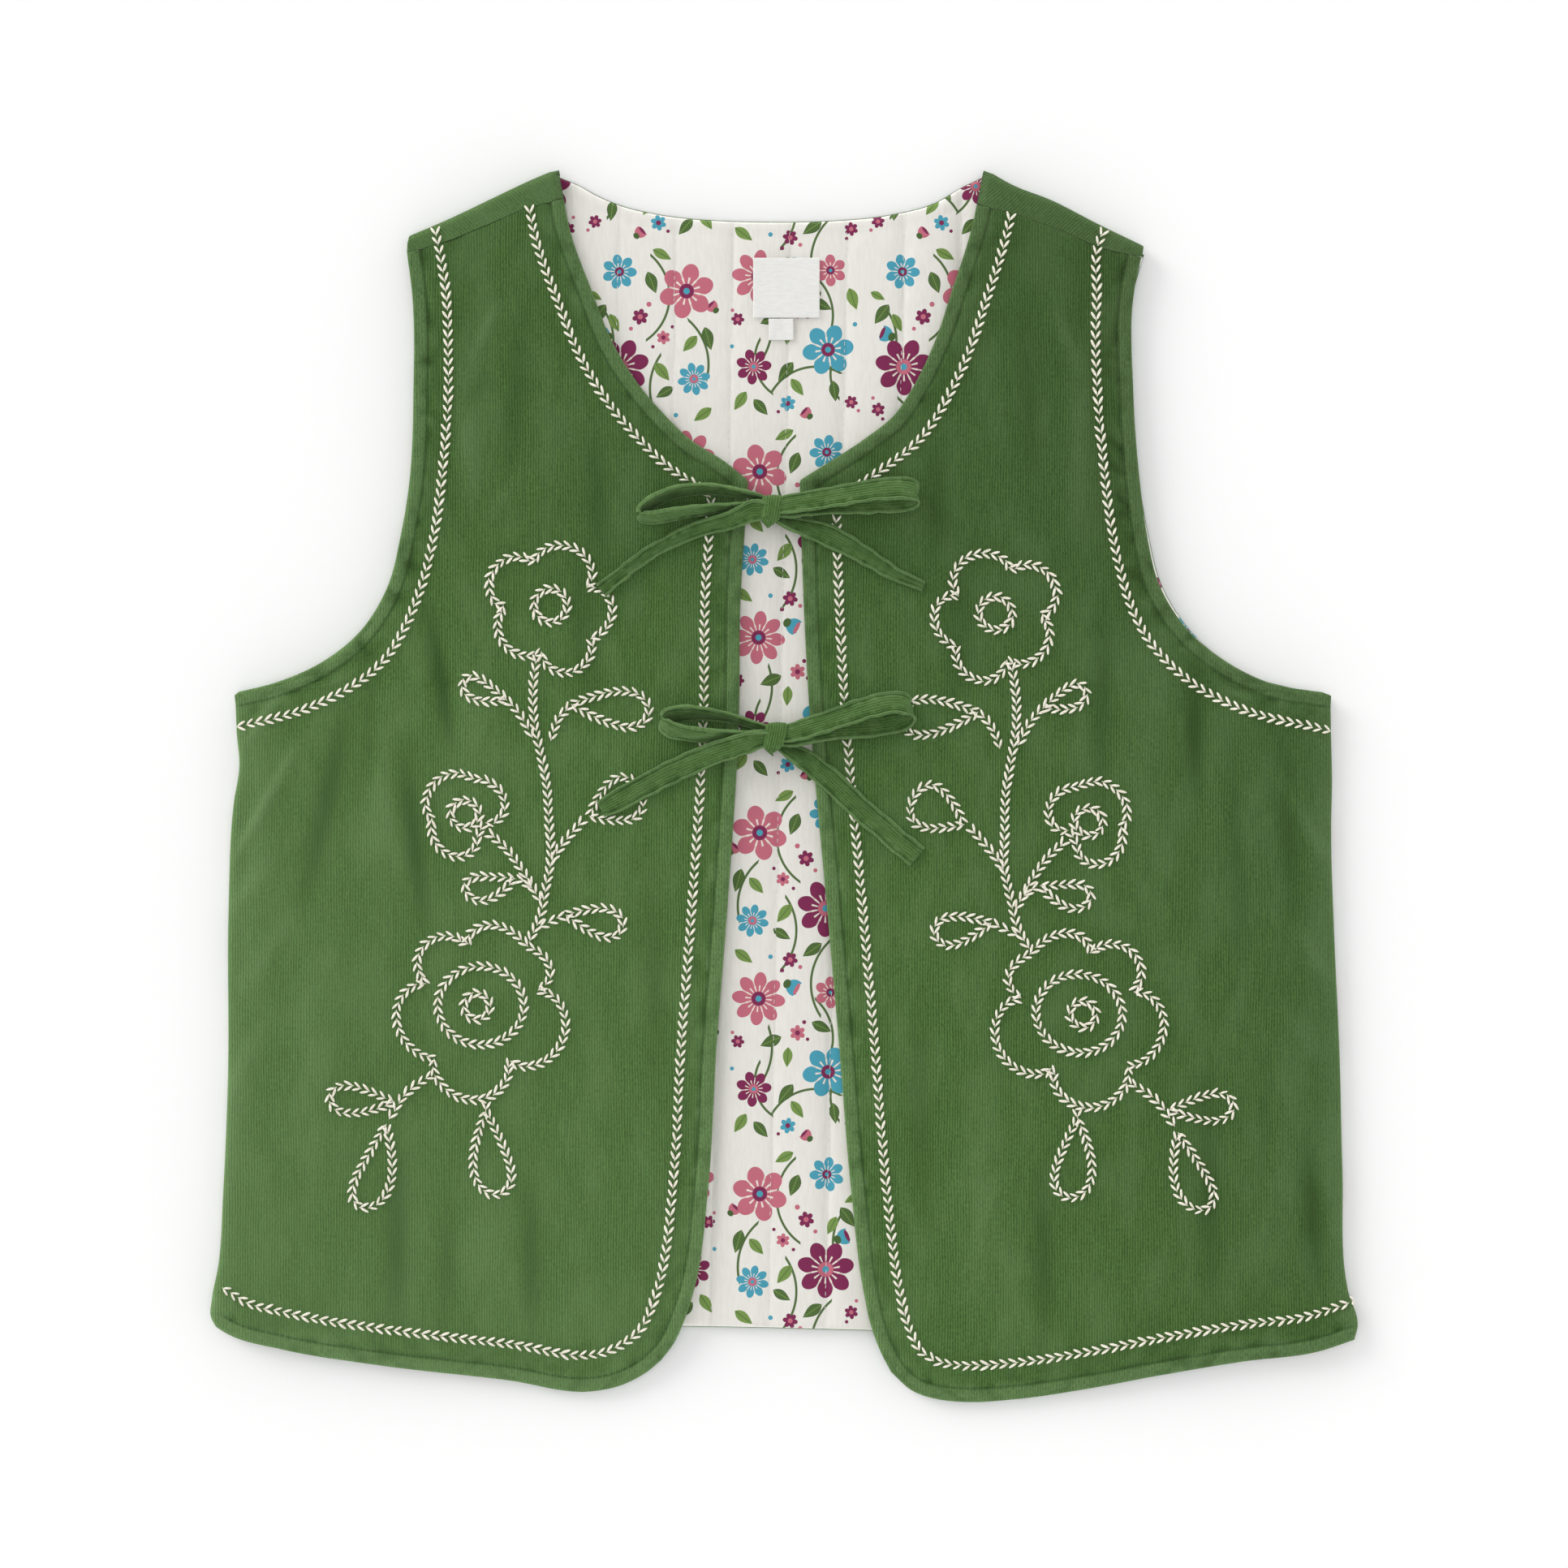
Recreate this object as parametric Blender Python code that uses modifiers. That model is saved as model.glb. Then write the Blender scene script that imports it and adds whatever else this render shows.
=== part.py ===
"""A tie-front quilted waistcoat laid flat: back with its lining, two fronts, labels and two tied bows.

Lengths in the tables are millimetres. +X is to the viewer's right, +Y runs to the shoulders, +Z is up.
"""

import math

import bmesh
import bpy
from mathutils import Vector

MM = 0.001

# Walls and the heights at which the layers lie
SEAM_GAP = 0.3
BACK_WALL = 2.0
LINING_BASE = BACK_WALL + SEAM_GAP
LINING_THIN = 0.9
QUILT_RISE = 1.1
LINING_TOP = LINING_BASE + LINING_THIN + QUILT_RISE
FRONT_TOP = 7.6
FRONT_WALL = 2.6
FOLD_RADIUS = FRONT_TOP / 2
SIDE_SEAM_LOW = 3.3
SIDE_SEAM_HIGH = 4.1
SEAM_THINNING = 0.35
CORNER_SAG = 3.2
SAG_LENGTH = 28.0

# How the sides curl: distances of the columns round the fold, and how far below the armhole it fades out
CURL_STEPS = (0.0, 0.15, 1.2, FOLD_RADIUS)
CURL_FADE = 9.0

# How the columns of a front close up at its rounded corner, and how fast its hem's bend fades upward
CORNER_CLOSING = 1.4
CORNER_RISE = 0.035
BEND_FADE = 2.5

# Quilting: the channels' width, the middle line's x at y = 0 and how far it moves over for each mm up
QUILT_PITCH = 26.6
QUILT_MIDDLE = -2.5
QUILT_SLANT = 0.02

# Ties
TIE_WIDTH = 11.0
TIE_WALL = 1.6
ROOT_WIDTH = 7.6

# Edges of the left front, each row (x, y), going up or from the side to the middle
LEFT_SIDE = [
    (-264.6, -252.7), (-266.9, -248.2), (-266.5, -240.2), (-263.5, -224.7), (-261.2, -190.7),
    (-258.9, -134.0), (-258.7, -60.0), (-256.3, -9.3), (-253.6, 9.3), (-254.8, 22.9), (-255.5, 42.5),
]
LEFT_ARMHOLE = [
    (-255.5, 42.5), (-235.9, 47.4), (-211.7, 58.8), (-198.1, 70.1), (-184.1, 92.8),
    (-178.4, 115.5), (-174.6, 138.2), (-172.4, 183.5), (-173.1, 228.9), (-175.4, 247.0),
]
LEFT_FRONT_EDGE = [
    (-57.1, -268.2), (-51.0, -259.9), (-47.6, -252.7), (-41.6, -234.5), (-35.5, -190.7),
    (-31.4, -122.7), (-26.1, -54.6), (-20.8, 36.1), (-20.4, 81.5), (-16.6, 141.2),
]
LEFT_NECK = [
    (-16.6, 141.2), (-26.8, 149.5), (-44.2, 160.8), (-55.9, 172.2), (-65.8, 183.5),
    (-80.1, 206.2), (-89.2, 228.9), (-100.2, 260.3), (-102.4, 272.3),
]
LEFT_HEM = [
    (-264.6, -252.7), (-259.7, -255.7), (-233.2, -263.3), (-190.1, -270.5), (-129.7, -277.6),
    (-88.5, -282.9), (-76.4, -280.3), (-64.3, -274.2), (-57.1, -268.2),
]
LEFT_SHOULDER_SEAM = [(-175.4, 247.0), (-156.1, 252.7), (-138.7, 259.9), (-118.7, 267.8), (-102.4, 272.3)]
LEFT_SHOULDER_FOLD = [(-175.0, 255.0), (-155.7, 263.3), (-136.8, 272.3), (-117.6, 281.4), (-105.1, 286.7)]

# Edges of the right front in the same order
RIGHT_SIDE = [
    (265.7, -258.7), (267.2, -252.3), (262.7, -236.1), (260.1, -179.4), (258.6, -122.7),
    (256.3, -71.6), (254.8, -20.6), (255.2, 2.1), (254.8, 21.4), (254.4, 42.1),
]
RIGHT_ARMHOLE = [
    (254.4, 42.1), (224.9, 47.4), (203.0, 58.8), (189.4, 70.1), (174.6, 92.8),
    (169.0, 115.5), (165.9, 138.2), (162.5, 183.5), (162.9, 228.9), (166.3, 245.1),
]
RIGHT_FRONT_EDGE = [
    (49.9, -273.9), (45.0, -264.4), (41.2, -254.6), (37.0, -236.1), (31.4, -190.7),
    (25.7, -122.7), (19.7, -54.6), (11.7, 36.1), (9.8, 70.1), (7.2, 141.2),
]
RIGHT_NECK = [
    (7.2, 141.2), (20.4, 149.5), (37.8, 160.8), (51.8, 172.2), (59.3, 183.5),
    (70.3, 206.2), (77.9, 228.9), (87.7, 260.3), (89.6, 269.3),
]
RIGHT_HEM = [
    (265.7, -258.7), (249.5, -264.0), (213.6, -268.9), (177.3, -275.0), (141.0, -281.8),
    (111.1, -286.3), (80.9, -287.8), (71.8, -286.7), (59.7, -282.6), (49.9, -273.9),
]
RIGHT_SHOULDER_SEAM = [(166.3, 245.1), (145.5, 250.0), (134.9, 254.6), (105.8, 265.2), (89.6, 269.3)]
RIGHT_SHOULDER_FOLD = [(167.8, 250.4), (146.7, 260.6), (122.8, 272.7), (107.7, 278.4), (93.0, 286.7)]

# The back's own edges: its armholes reach a little past the fronts', and its neck and hem lie lower
BACK_LEFT_ARMHOLE = LEFT_ARMHOLE[:-1] + [(-175.3, 251.2)]
BACK_RIGHT_ARMHOLE = [
    (254.4, 42.1), (224.9, 47.8), (204.1, 60.3), (190.9, 71.8), (176.1, 94.0),
    (170.0, 115.9), (166.0, 138.4), (162.5, 183.5), (162.9, 228.9), (167.4, 246.6),
]
BACK_NECK = [
    (-96.4, 279.4), (-86.9, 274.2), (-74.8, 269.3), (-60.5, 265.9), (-47.6, 264.0), (-26.8, 262.5),
    (-6.0, 262.0), (20.4, 262.5), (50.3, 265.5), (69.6, 270.5), (83.8, 278.6),
]
BACK_HEM = [
    (-264.6, -252.7), (-180.0, -255.0), (-48.0, -252.9), (41.0, -254.8), (180.0, -258.5), (265.7, -258.7),
]

# Soft folds of the fronts, each row (x and y of one end, x and y of the other, half width, height)
FRONT_FOLDS = [
    (-187.0, 50.0, -186.0, -70.0, 9.0, 1.3),
    (-152.0, 80.0, -138.0, -40.0, 10.0, 1.0),
    (-238.0, 20.0, -246.0, -110.0, 9.0, 1.1),
    (-210.0, -30.0, -222.0, -200.0, 12.0, 1.0),
    (-134.0, -165.0, -132.0, -262.0, 11.0, 1.0),
    (206.0, 45.0, 212.0, -70.0, 12.0, 1.0),
    (170.0, 75.0, 164.0, -60.0, 11.0, 0.9),
    (226.0, -110.0, 230.0, -235.0, 12.0, 1.0),
    (92.0, -150.0, 96.0, -262.0, 12.0, 0.9),
]

# Bows: x and y of the knot's middle, its width, its length and how far its lower end is drawn aside
KNOTS = {"top": (-4.9, 126.6, 11.2, 15.6, -2.6), "lower": (-3.0, 21.2, 11.6, 15.2, -3.2)}
KNOT_BOTTOM = LINING_TOP + SEAM_GAP
KNOT_HEIGHT = 12.4
KNOT_TAPER = 0.62
KNOT_ROUNDING = 2.6

# Loops: x and y at the knot, x and y at the tip, height, spread in plan, lift, lean in degrees, arch,
# how pointed the tip is, then height and width at the knot
LOOPS = {
    "top_loop_left": (-12.2, 131.8, -67.0, 125.6, 13.6, 5.6, 0.0, 62.0, 3.2, 2.0, 11.2, 5.4),
    "top_loop_right": (2.0, 128.8, 61.4, 134.8, 13.4, 3.0, 3.4, -14.0, 0.8, 1.0, 13.4, 9.6),
    "lower_loop_left": (-10.6, 24.8, -56.4, 29.4, 13.8, 5.4, -1.2, 50.0, 0.0, 2.0, 11.0, 5.4),
    "lower_loop_right": (4.2, 22.8, 58.6, 34.6, 13.6, 5.2, 3.6, -12.0, 0.8, 1.0, 13.6, 9.6),
}
LOOP_KNOT_HALF = 1.5
LOOP_GATHER = 0.8

# Tails: rows (x, y, height, lean in degrees, width) from the knot to the cut end
TAILS = {
    "top_tail_left": [
        (-13.2, 126.7, 14.9, 14.0, 10.2), (-17.6, 125.4, 14.6, 22.0, 9.8), (-23.6, 122.6, 13.2, 26.0, 9.4),
        (-38.6, 118.7, 10.6, 14.0, 8.2), (-58.4, 109.6, 9.4, 4.0, 6.8), (-70.0, 102.0, 9.1, 2.0, 6.8),
        (-85.1, 89.8, 8.9, 0.0, 7.4),
    ],
    "top_tail_right": [
        (-0.8, 122.4, 10.6, -40.0, 6.4), (9.4, 119.2, 10.0, -16.0, 8.8), (19.8, 115.8, 9.4, -4.0, 10.8),
        (37.8, 106.2, 9.1, 0.0, 8.8), (50.6, 98.2, 9.0, 0.0, 6.8), (64.9, 91.8, 8.9, 0.0, 5.0),
    ],
    "lower_tail_left": [
        (-11.6, 20.3, 14.8, 10.0, 8.4), (-17.0, 19.0, 14.6, 14.0, 10.2), (-29.7, 15.2, 13.4, 16.0, 11.0),
        (-49.0, 7.1, 10.0, 5.0, 11.2), (-68.2, -2.7, 9.1, 0.0, 11.0), (-77.9, -8.2, 8.9, 0.0, 10.4),
        (-85.3, -11.8, 8.9, 0.0, 8.0),
    ],
    "lower_tail_right": [
        (1.0, 16.2, 10.4, -34.0, 7.4), (9.6, 11.4, 9.8, -14.0, 9.8), (20.8, 2.5, 9.2, 0.0, 11.0),
        (37.0, -12.6, 9.0, 0.0, 11.0), (53.4, -26.8, 8.9, 0.0, 11.0), (62.0, -33.9, 8.9, 0.0, 11.2),
    ],
}

# Roots: rows (x, y, height) from the front's edge to the knot
ROOTS = {
    "top_root_left": [(-16.6, 129.4, 6.3), (-13.8, 129.4, 6.5), (-10.8, 129.4, 7.1)],
    "top_root_right": [(7.0, 129.4, 6.3), (4.2, 129.4, 6.5), (1.0, 129.4, 7.1)],
    "lower_root_left": [(-20.3, 24.2, 6.3), (-15.4, 24.2, 6.5), (-9.8, 24.2, 7.1)],
    "lower_root_right": [(11.8, 24.2, 6.3), (7.8, 24.2, 6.5), (3.2, 24.2, 7.1)],
}

# Labels: left, right, lower and upper edge
LABEL = (-14.4, 16.6, 217.0, 245.0)
SIZE_TAB = (-7.2, 4.4, 206.6, 216.7)
LABEL_WALL = 0.6

GREEN = (0.070, 0.135, 0.042, 1.0)
GREEN_TIE = (0.078, 0.145, 0.048, 1.0)
PRINTED_COTTON = (0.78, 0.72, 0.66, 1.0)
LABEL_WHITE = (0.90, 0.90, 0.88, 1.0)


def clear_scene():
    for old in list(bpy.data.objects):
        bpy.data.objects.remove(old, do_unlink=True)


def material(name, colour, roughness):
    made = bpy.data.materials.new(name)
    made.use_nodes = True
    shader = made.node_tree.nodes["Principled BSDF"]
    shader.inputs["Base Color"].default_value = colour
    shader.inputs["Roughness"].default_value = roughness
    shader.inputs["Metallic"].default_value = 0.0
    return made


def smooth(rows, steps=8):
    """Points of a curve that runs smoothly through the rows."""
    points = [Vector(row) for row in rows]
    gaps = [(after - before).length for before, after in zip(points, points[1:])]
    slopes = [(after - before) / gap for before, after, gap in zip(points, points[1:], gaps)]
    turns = [slopes[0]]
    for index in range(1, len(slopes)):
        near, far = gaps[index - 1], gaps[index]
        turns.append((slopes[index - 1] * far + slopes[index] * near) / (near + far))
    turns.append(slopes[-1])
    curve = []
    for index, gap in enumerate(gaps):
        for step in range(steps):
            t = step / steps
            start = points[index] * (2 * t**3 - 3 * t**2 + 1) + turns[index] * gap * (t**3 - 2 * t**2 + t)
            end = points[index + 1] * (3 * t**2 - 2 * t**3) + turns[index + 1] * gap * (t**3 - t**2)
            curve.append(start + end)
    curve.append(points[-1])
    return curve


def ease(value):
    """0 below 0, 1 above 1, and a soft step between."""
    t = min(max(value, 0.0), 1.0)
    return t * t * (3 - 2 * t)


class Edge:
    """A smooth edge through one or more stretches, found by its share of the way along one axis."""

    def __init__(self, axis, *stretches):
        self.axis = axis
        self.points = [point for rows in stretches for point in smooth(rows)]
        self.first = self.points[0][axis]
        self.last = self.points[-1][axis]

    def share(self, value):
        return (value - self.first) / (self.last - self.first)

    def at(self, share):
        goal = self.first + (self.last - self.first) * share
        axis = self.axis
        for before, after in zip(self.points, self.points[1:]):
            step = after[axis] - before[axis]
            if step and 0 <= (goal - before[axis]) / step <= 1:
                return before.lerp(after, (goal - before[axis]) / step)
        return self.points[0 if share < 0.5 else -1].copy()


class Panel:
    """A cut panel between two upright edges and a hem and top edge."""

    def __init__(self, outer, inner, hem, top):
        self.outer, self.inner, self.hem, self.top = outer, inner, hem, top

    def width(self, v):
        return abs(self.inner.at(v).x - self.outer.at(v).x)

    def point(self, u, v):
        """Straight between the upright edges, and bent like the hem and top edge close to them."""
        straight = self.outer.at(v).lerp(self.inner.at(v), u)
        hem_bend = self.hem.at(u).y - self.hem.at(0).lerp(self.hem.at(1), u).y
        top_bend = self.top.at(u).y - self.top.at(0).lerp(self.top.at(1), u).y
        bent = hem_bend * (1 - v) ** BEND_FADE + top_bend * v ** BEND_FADE
        return Vector((straight.x, straight.y + bent))

    def share_across(self, x, v):
        start = self.outer.at(v).x
        return (x - start) / (self.inner.at(v).x - start)

    def levels(self, marks, counts, fine=240):
        """Shares up the panel with a row at each mark, spaced by how far both edges run."""
        shares = []
        for start, end, count in zip(marks, marks[1:], counts):
            trail = [start + (end - start) * step / fine for step in range(fine + 1)]
            run = [0.0]
            for low, high in zip(trail, trail[1:]):
                along = (self.outer.at(high) - self.outer.at(low)).length
                along += (self.inner.at(high) - self.inner.at(low)).length
                run.append(run[-1] + along)
            for part in range(count):
                goal = run[-1] * part / count
                shares.append(trail[min(range(fine + 1), key=lambda step: abs(run[step] - goal))])
        shares.append(marks[-1])
        return shares


def grid_object(name, columns, rows, place, look, wall, offset, flip=False, thinnest=1.0):
    """A grid whose points place(column, row) sets, thickened into a wall. None leaves a point out.

    A fourth number from place sets the wall there, from 0 for the thinnest share of it to 1 for all.
    """
    shape = bmesh.new()
    bmesh.ops.create_grid(shape, x_segments=columns - 1, y_segments=rows - 1, size=0.5)
    weights = shape.verts.layers.deform.verify()
    left_out = []
    for vert in shape.verts:
        column = round((vert.co.x + 0.5) * (columns - 1))
        row = round((vert.co.y + 0.5) * (rows - 1))
        spot = place(column, row)
        if spot is None:
            left_out.append(vert)
            continue
        vert.co = Vector(spot[:3]) * MM
        vert[weights][0] = spot[3] if len(spot) > 3 else 1.0
    bmesh.ops.delete(shape, geom=left_out, context="VERTS")
    if flip:
        bmesh.ops.reverse_faces(shape, faces=shape.faces)
    mesh = bpy.data.meshes.new(name)
    shape.to_mesh(mesh)
    shape.free()
    mesh.materials.append(look)
    made = bpy.data.objects.new(name, mesh)
    made.vertex_groups.new(name="thickness")
    garment.objects.link(made)
    thick = made.modifiers.new("wall", "SOLIDIFY")
    thick.thickness = wall * MM
    thick.offset = offset
    thick.vertex_group = "thickness"
    thick.thickness_vertex_group = thinnest
    return made


def fold_height(x, y):
    """How far the soft folds raise the fronts at a place."""
    raised = 0.0
    for x0, y0, x1, y1, half_width, height in FRONT_FOLDS:
        start, run = Vector((x0, y0)), Vector((x1 - x0, y1 - y0))
        along = (Vector((x, y)) - start).dot(run) / run.length_squared
        if 0 < along < 1:
            off = (Vector((x, y)) - start - run * along).length
            raised += height * math.sin(math.pi * along) * math.exp(-((off / half_width) ** 2))
    return raised


def front_height(x, y):
    """Top of a front: flat on the layers below, raised by its folds, and lower past the back's hem."""
    past_hem = BACK_HEM_EDGE.at(BACK_HEM_EDGE.share(x)).y - y
    return FRONT_TOP + fold_height(x, y) - CORNER_SAG * ease(past_hem / SAG_LENGTH)


def side_curl(y, armhole_corner):
    """1 along the side seam, fading out just below the armhole's corner."""
    return ease((armhole_corner[1] - y) / CURL_FADE)


def rounded_drop(distance, radius):
    """Share of the full height left at a distance from a rounded edge."""
    if distance >= radius:
        return 1.0
    return math.sqrt(1 - (1 - distance / radius) ** 2)


def curl_distances(curl):
    """Distances of the first columns from the side: close together where it curls, even where it is flat."""
    last = len(CURL_STEPS) - 1
    return [step * curl + FOLD_RADIUS * index / last * (1 - curl) for index, step in enumerate(CURL_STEPS)]


def across_shares(width, curl, middle_columns):
    """Shares across a front: columns round its side fold, then ones that close up at its rounded corner."""
    near = [distance / width for distance in curl_distances(curl)]
    rest = []
    for step in range(1, middle_columns + 1):
        closing = 1 - (1 - step / middle_columns) ** CORNER_CLOSING
        rest.append(near[-1] + (1 - near[-1]) * closing)
    return near + rest


def build_front(name, side, armhole, front_edge, neck, hem, seam, look, mirrored):
    """One front from shoulder seam to hem, curving down to the side seam."""
    seam_line = [(x, y - SEAM_GAP) for x, y in seam]
    panel = Panel(
        Edge(1, side, armhole[:-1] + [seam_line[0]]),
        Edge(1, front_edge, neck[:-1] + [seam_line[-1]]),
        Edge(0, hem),
        Edge(0, seam_line),
    )
    underarm = panel.outer.share(side[-1][1])
    neck_corner = panel.inner.share(neck[0][1])
    below = panel.outer.share(side[-1][1] - CURL_FADE)
    levels = panel.levels([0.0, CORNER_RISE, below, underarm, neck_corner, 1.0], [2, 8, 1, 7, 6])
    middle_columns = 15
    columns = len(CURL_STEPS) + middle_columns

    def place(column, row):
        v = levels[row]
        width = panel.width(v)
        curl = side_curl(panel.outer.at(v).y, side[-1])
        u = across_shares(width, curl, middle_columns)[column]
        spot = panel.point(u, v)
        top = front_height(spot.x, spot.y)
        kept = rounded_drop(u * width, FOLD_RADIUS)
        fallen = (1 - kept) * curl
        return (spot.x, spot.y, top - (top - SIDE_SEAM_HIGH) * fallen, 1 - fallen)

    return grid_object(
        name, columns, len(levels), place, look, FRONT_WALL, -1.0, flip=mirrored, thinnest=SEAM_THINNING
    )


def back_panel():
    """The back's cut between its side seams, its hem, its neck and the start of its shoulder folds."""
    left_top = [(x, y - FOLD_RADIUS) for x, y in LEFT_SHOULDER_FOLD]
    right_top = [(x, y - FOLD_RADIUS) for x, y in reversed(RIGHT_SHOULDER_FOLD)]
    neck = [left_top[-1]] + BACK_NECK + [right_top[0]]
    return Panel(
        Edge(1, LEFT_SIDE, BACK_LEFT_ARMHOLE[:-1] + [left_top[0]]),
        Edge(1, RIGHT_SIDE, BACK_RIGHT_ARMHOLE[:-1] + [right_top[-1]]),
        BACK_HEM_EDGE,
        Edge(0, left_top, neck, right_top),
    )


def back_levels(panel):
    """Rows of the back and its lining: at both underarms, where the curl fades below, and evenly between."""
    curled = panel.outer.share(LEFT_SIDE[-1][1] - 2 * CURL_FADE)
    flat = panel.outer.share(LEFT_SIDE[-1][1] - CURL_FADE)
    left_underarm = panel.outer.share(LEFT_SIDE[-1][1])
    right_underarm = panel.inner.share(RIGHT_SIDE[-1][1])
    return panel.levels([0.0, curled, flat, left_underarm, right_underarm, 1.0], [5, 1, 1, 1, 11])


def back_curl(edge, v, corner):
    """The back's curl fades a step below the front's, so the two stay apart."""
    return side_curl(edge.at(v).y + CURL_FADE, corner)


def build_back(look):
    """The back shell, flat underneath, with its sides curled up and its shoulders wrapped forward."""
    panel = back_panel()
    left_neck = panel.top.share(LEFT_SHOULDER_FOLD[-1][0])
    right_neck = panel.top.share(RIGHT_SHOULDER_FOLD[-1][0])
    levels = back_levels(panel)
    shoulder_columns, neck_columns = 4, 10
    curl = len(CURL_STEPS)
    left_last = curl - 1 + shoulder_columns
    right_first = left_last + neck_columns
    columns = right_first + shoulder_columns + curl

    def across(column, v):
        width = panel.width(v)
        start, end = CURL_STEPS[-1] / width, 1 - CURL_STEPS[-1] / width
        if column < curl:
            return curl_distances(back_curl(panel.outer, v, LEFT_SIDE[-1]))[column] / width
        if column >= columns - curl:
            near = curl_distances(back_curl(panel.inner, v, RIGHT_SIDE[-1]))
            return 1 - near[columns - 1 - column] / width
        if column <= left_last:
            return start + (left_neck - start) * (column - curl + 1) / shoulder_columns
        if column <= right_first:
            return left_neck + (right_neck - left_neck) * (column - left_last) / neck_columns
        return right_neck + (end - right_neck) * (column - right_first) / shoulder_columns

    bends = (-60.0, -30.0, 0.0, 30.0, 60.0, 90.0)
    seams = {-1: Edge(0, LEFT_SHOULDER_SEAM), 1: Edge(0, RIGHT_SHOULDER_SEAM)}
    folds = {-1: Edge(0, LEFT_SHOULDER_FOLD), 1: Edge(0, RIGHT_SHOULDER_FOLD)}

    def wrapped(column, step):
        """A point of the shoulder wrap, from the start of its fold to the seam on the front."""
        if left_last < column < right_first:
            return None
        sign = -1 if column <= left_last else 1
        u = across(column, 1.0)
        x = panel.point(u, 1.0).x
        fold, seam = folds[sign], seams[sign]
        share = min(max(fold.share(x), 0.0), 1.0)
        start, end = fold.at(share), seam.at(share)
        if step < len(bends):
            bend = math.radians(bends[step])
            inward = FOLD_RADIUS * (1 - math.cos(bend))
            height = FOLD_RADIUS * (1 + math.sin(bend))
        else:
            inward = start.y - end.y
            height = FRONT_TOP
        aside = (end.x - start.x) * inward / (start.y - end.y)
        return (start.x + aside, start.y - inward, height)

    def place(column, row):
        if row >= len(levels):
            return wrapped(column, row - len(levels))
        v = levels[row]
        u = across(column, v)
        spot = panel.point(u, v)
        edge, corner = (panel.outer, LEFT_SIDE[-1]) if u < 0.5 else (panel.inner, RIGHT_SIDE[-1])
        curled = back_curl(edge, v, corner)
        kept = rounded_drop(min(u, 1 - u) * panel.width(v), FOLD_RADIUS)
        risen = (1 - kept) * curled
        return (spot.x, spot.y, SIDE_SEAM_LOW * risen, 1 - risen)

    rows = len(levels) + len(bends) + 1
    return grid_object(
        "back", columns, rows, place, look, BACK_WALL, -1.0, flip=True, thinnest=SEAM_THINNING
    )


def build_lining(look):
    """The back's lining: a plain inside with upright quilted channels raised in its outer points."""
    panel = back_panel()
    levels = back_levels(panel)
    side_inset, edge_inset, shoulder_inset = 4.6, 0.4, 1.4
    thirds = 3
    middle_channels = 12
    side_channels = 2
    body_left = QUILT_MIDDLE - QUILT_PITCH * middle_channels / 2
    body_right = QUILT_MIDDLE + QUILT_PITCH * middle_channels / 2
    side_columns = side_channels * thirds
    body_columns = middle_channels * thirds
    columns = 2 * side_columns + body_columns + 1

    def place(column, row):
        v = levels[row]
        low, high = panel.outer.at(v), panel.inner.at(v)
        inset_left = edge_inset + (side_inset - edge_inset) * side_curl(low.y, LEFT_SIDE[-1])
        inset_right = edge_inset + (side_inset - edge_inset) * side_curl(high.y, RIGHT_SIDE[-1])
        left, right = low.x + inset_left, high.x - inset_right
        lean = QUILT_SLANT * (low.y + high.y) / 2
        first, last = max(body_left + lean, left + 0.6), min(body_right + lean, right - 0.6)
        if column < side_columns:
            x = left + (first - left) * column / side_columns
        elif column <= side_columns + body_columns:
            x = first + (last - first) * (column - side_columns) / body_columns
        else:
            x = last + (right - last) * (column - side_columns - body_columns) / side_columns
        y = panel.point(panel.share_across(x, v), v).y
        on_shoulder = x < LEFT_SHOULDER_FOLD[-1][0] or x > RIGHT_SHOULDER_FOLD[-1][0]
        if row == len(levels) - 1:
            y -= shoulder_inset if on_shoulder else edge_inset
        if row == 0:
            y += edge_inset
        rim = row in (0, len(levels) - 1) or column in (0, columns - 1)
        room = first - left if column < side_columns else right - last
        squeezed = (column < side_columns or column > columns - 1 - side_columns) and room < 20.0
        raised = column % thirds != 0 and not rim and not squeezed
        return (x, y, LINING_BASE, 1.0 if raised else 0.0)

    puffed = LINING_THIN + QUILT_RISE
    return grid_object(
        "back_lining", columns, len(levels), place, look, puffed, 1.0, thinnest=LINING_THIN / puffed
    )


def build_box(name, left, right, low, high, bottom, wall, look):
    """A flat rectangular tab."""
    bpy.ops.mesh.primitive_cube_add(size=1.0)
    made = bpy.context.active_object
    made.name = name
    made.data.name = name
    centre = Vector(((left + right) / 2, (low + high) / 2, bottom + wall / 2))
    for vert in made.data.vertices:
        stretched = Vector((vert.co.x * (right - left), vert.co.y * (high - low), vert.co.z * wall))
        vert.co = (centre + stretched) * MM
    made.data.materials.append(look)
    for owner in list(made.users_collection):
        owner.objects.unlink(made)
    garment.objects.link(made)
    return made


def build_knot(name, x, y, width, length, aside, look):
    """A tight knot: a rounded block with its lower end narrowed and drawn aside."""
    made = build_box(
        name, x - width / 2, x + width / 2, y - length / 2, y + length / 2, KNOT_BOTTOM, KNOT_HEIGHT, look
    )
    for vert in made.data.vertices:
        if vert.co.y < y * MM:
            vert.co.x = (x + aside + (vert.co.x / MM - x) * KNOT_TAPER) * MM
    rounding = made.modifiers.new("rounding", "BEVEL")
    rounding.width = KNOT_ROUNDING * MM
    rounding.segments = 2
    return made


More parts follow.
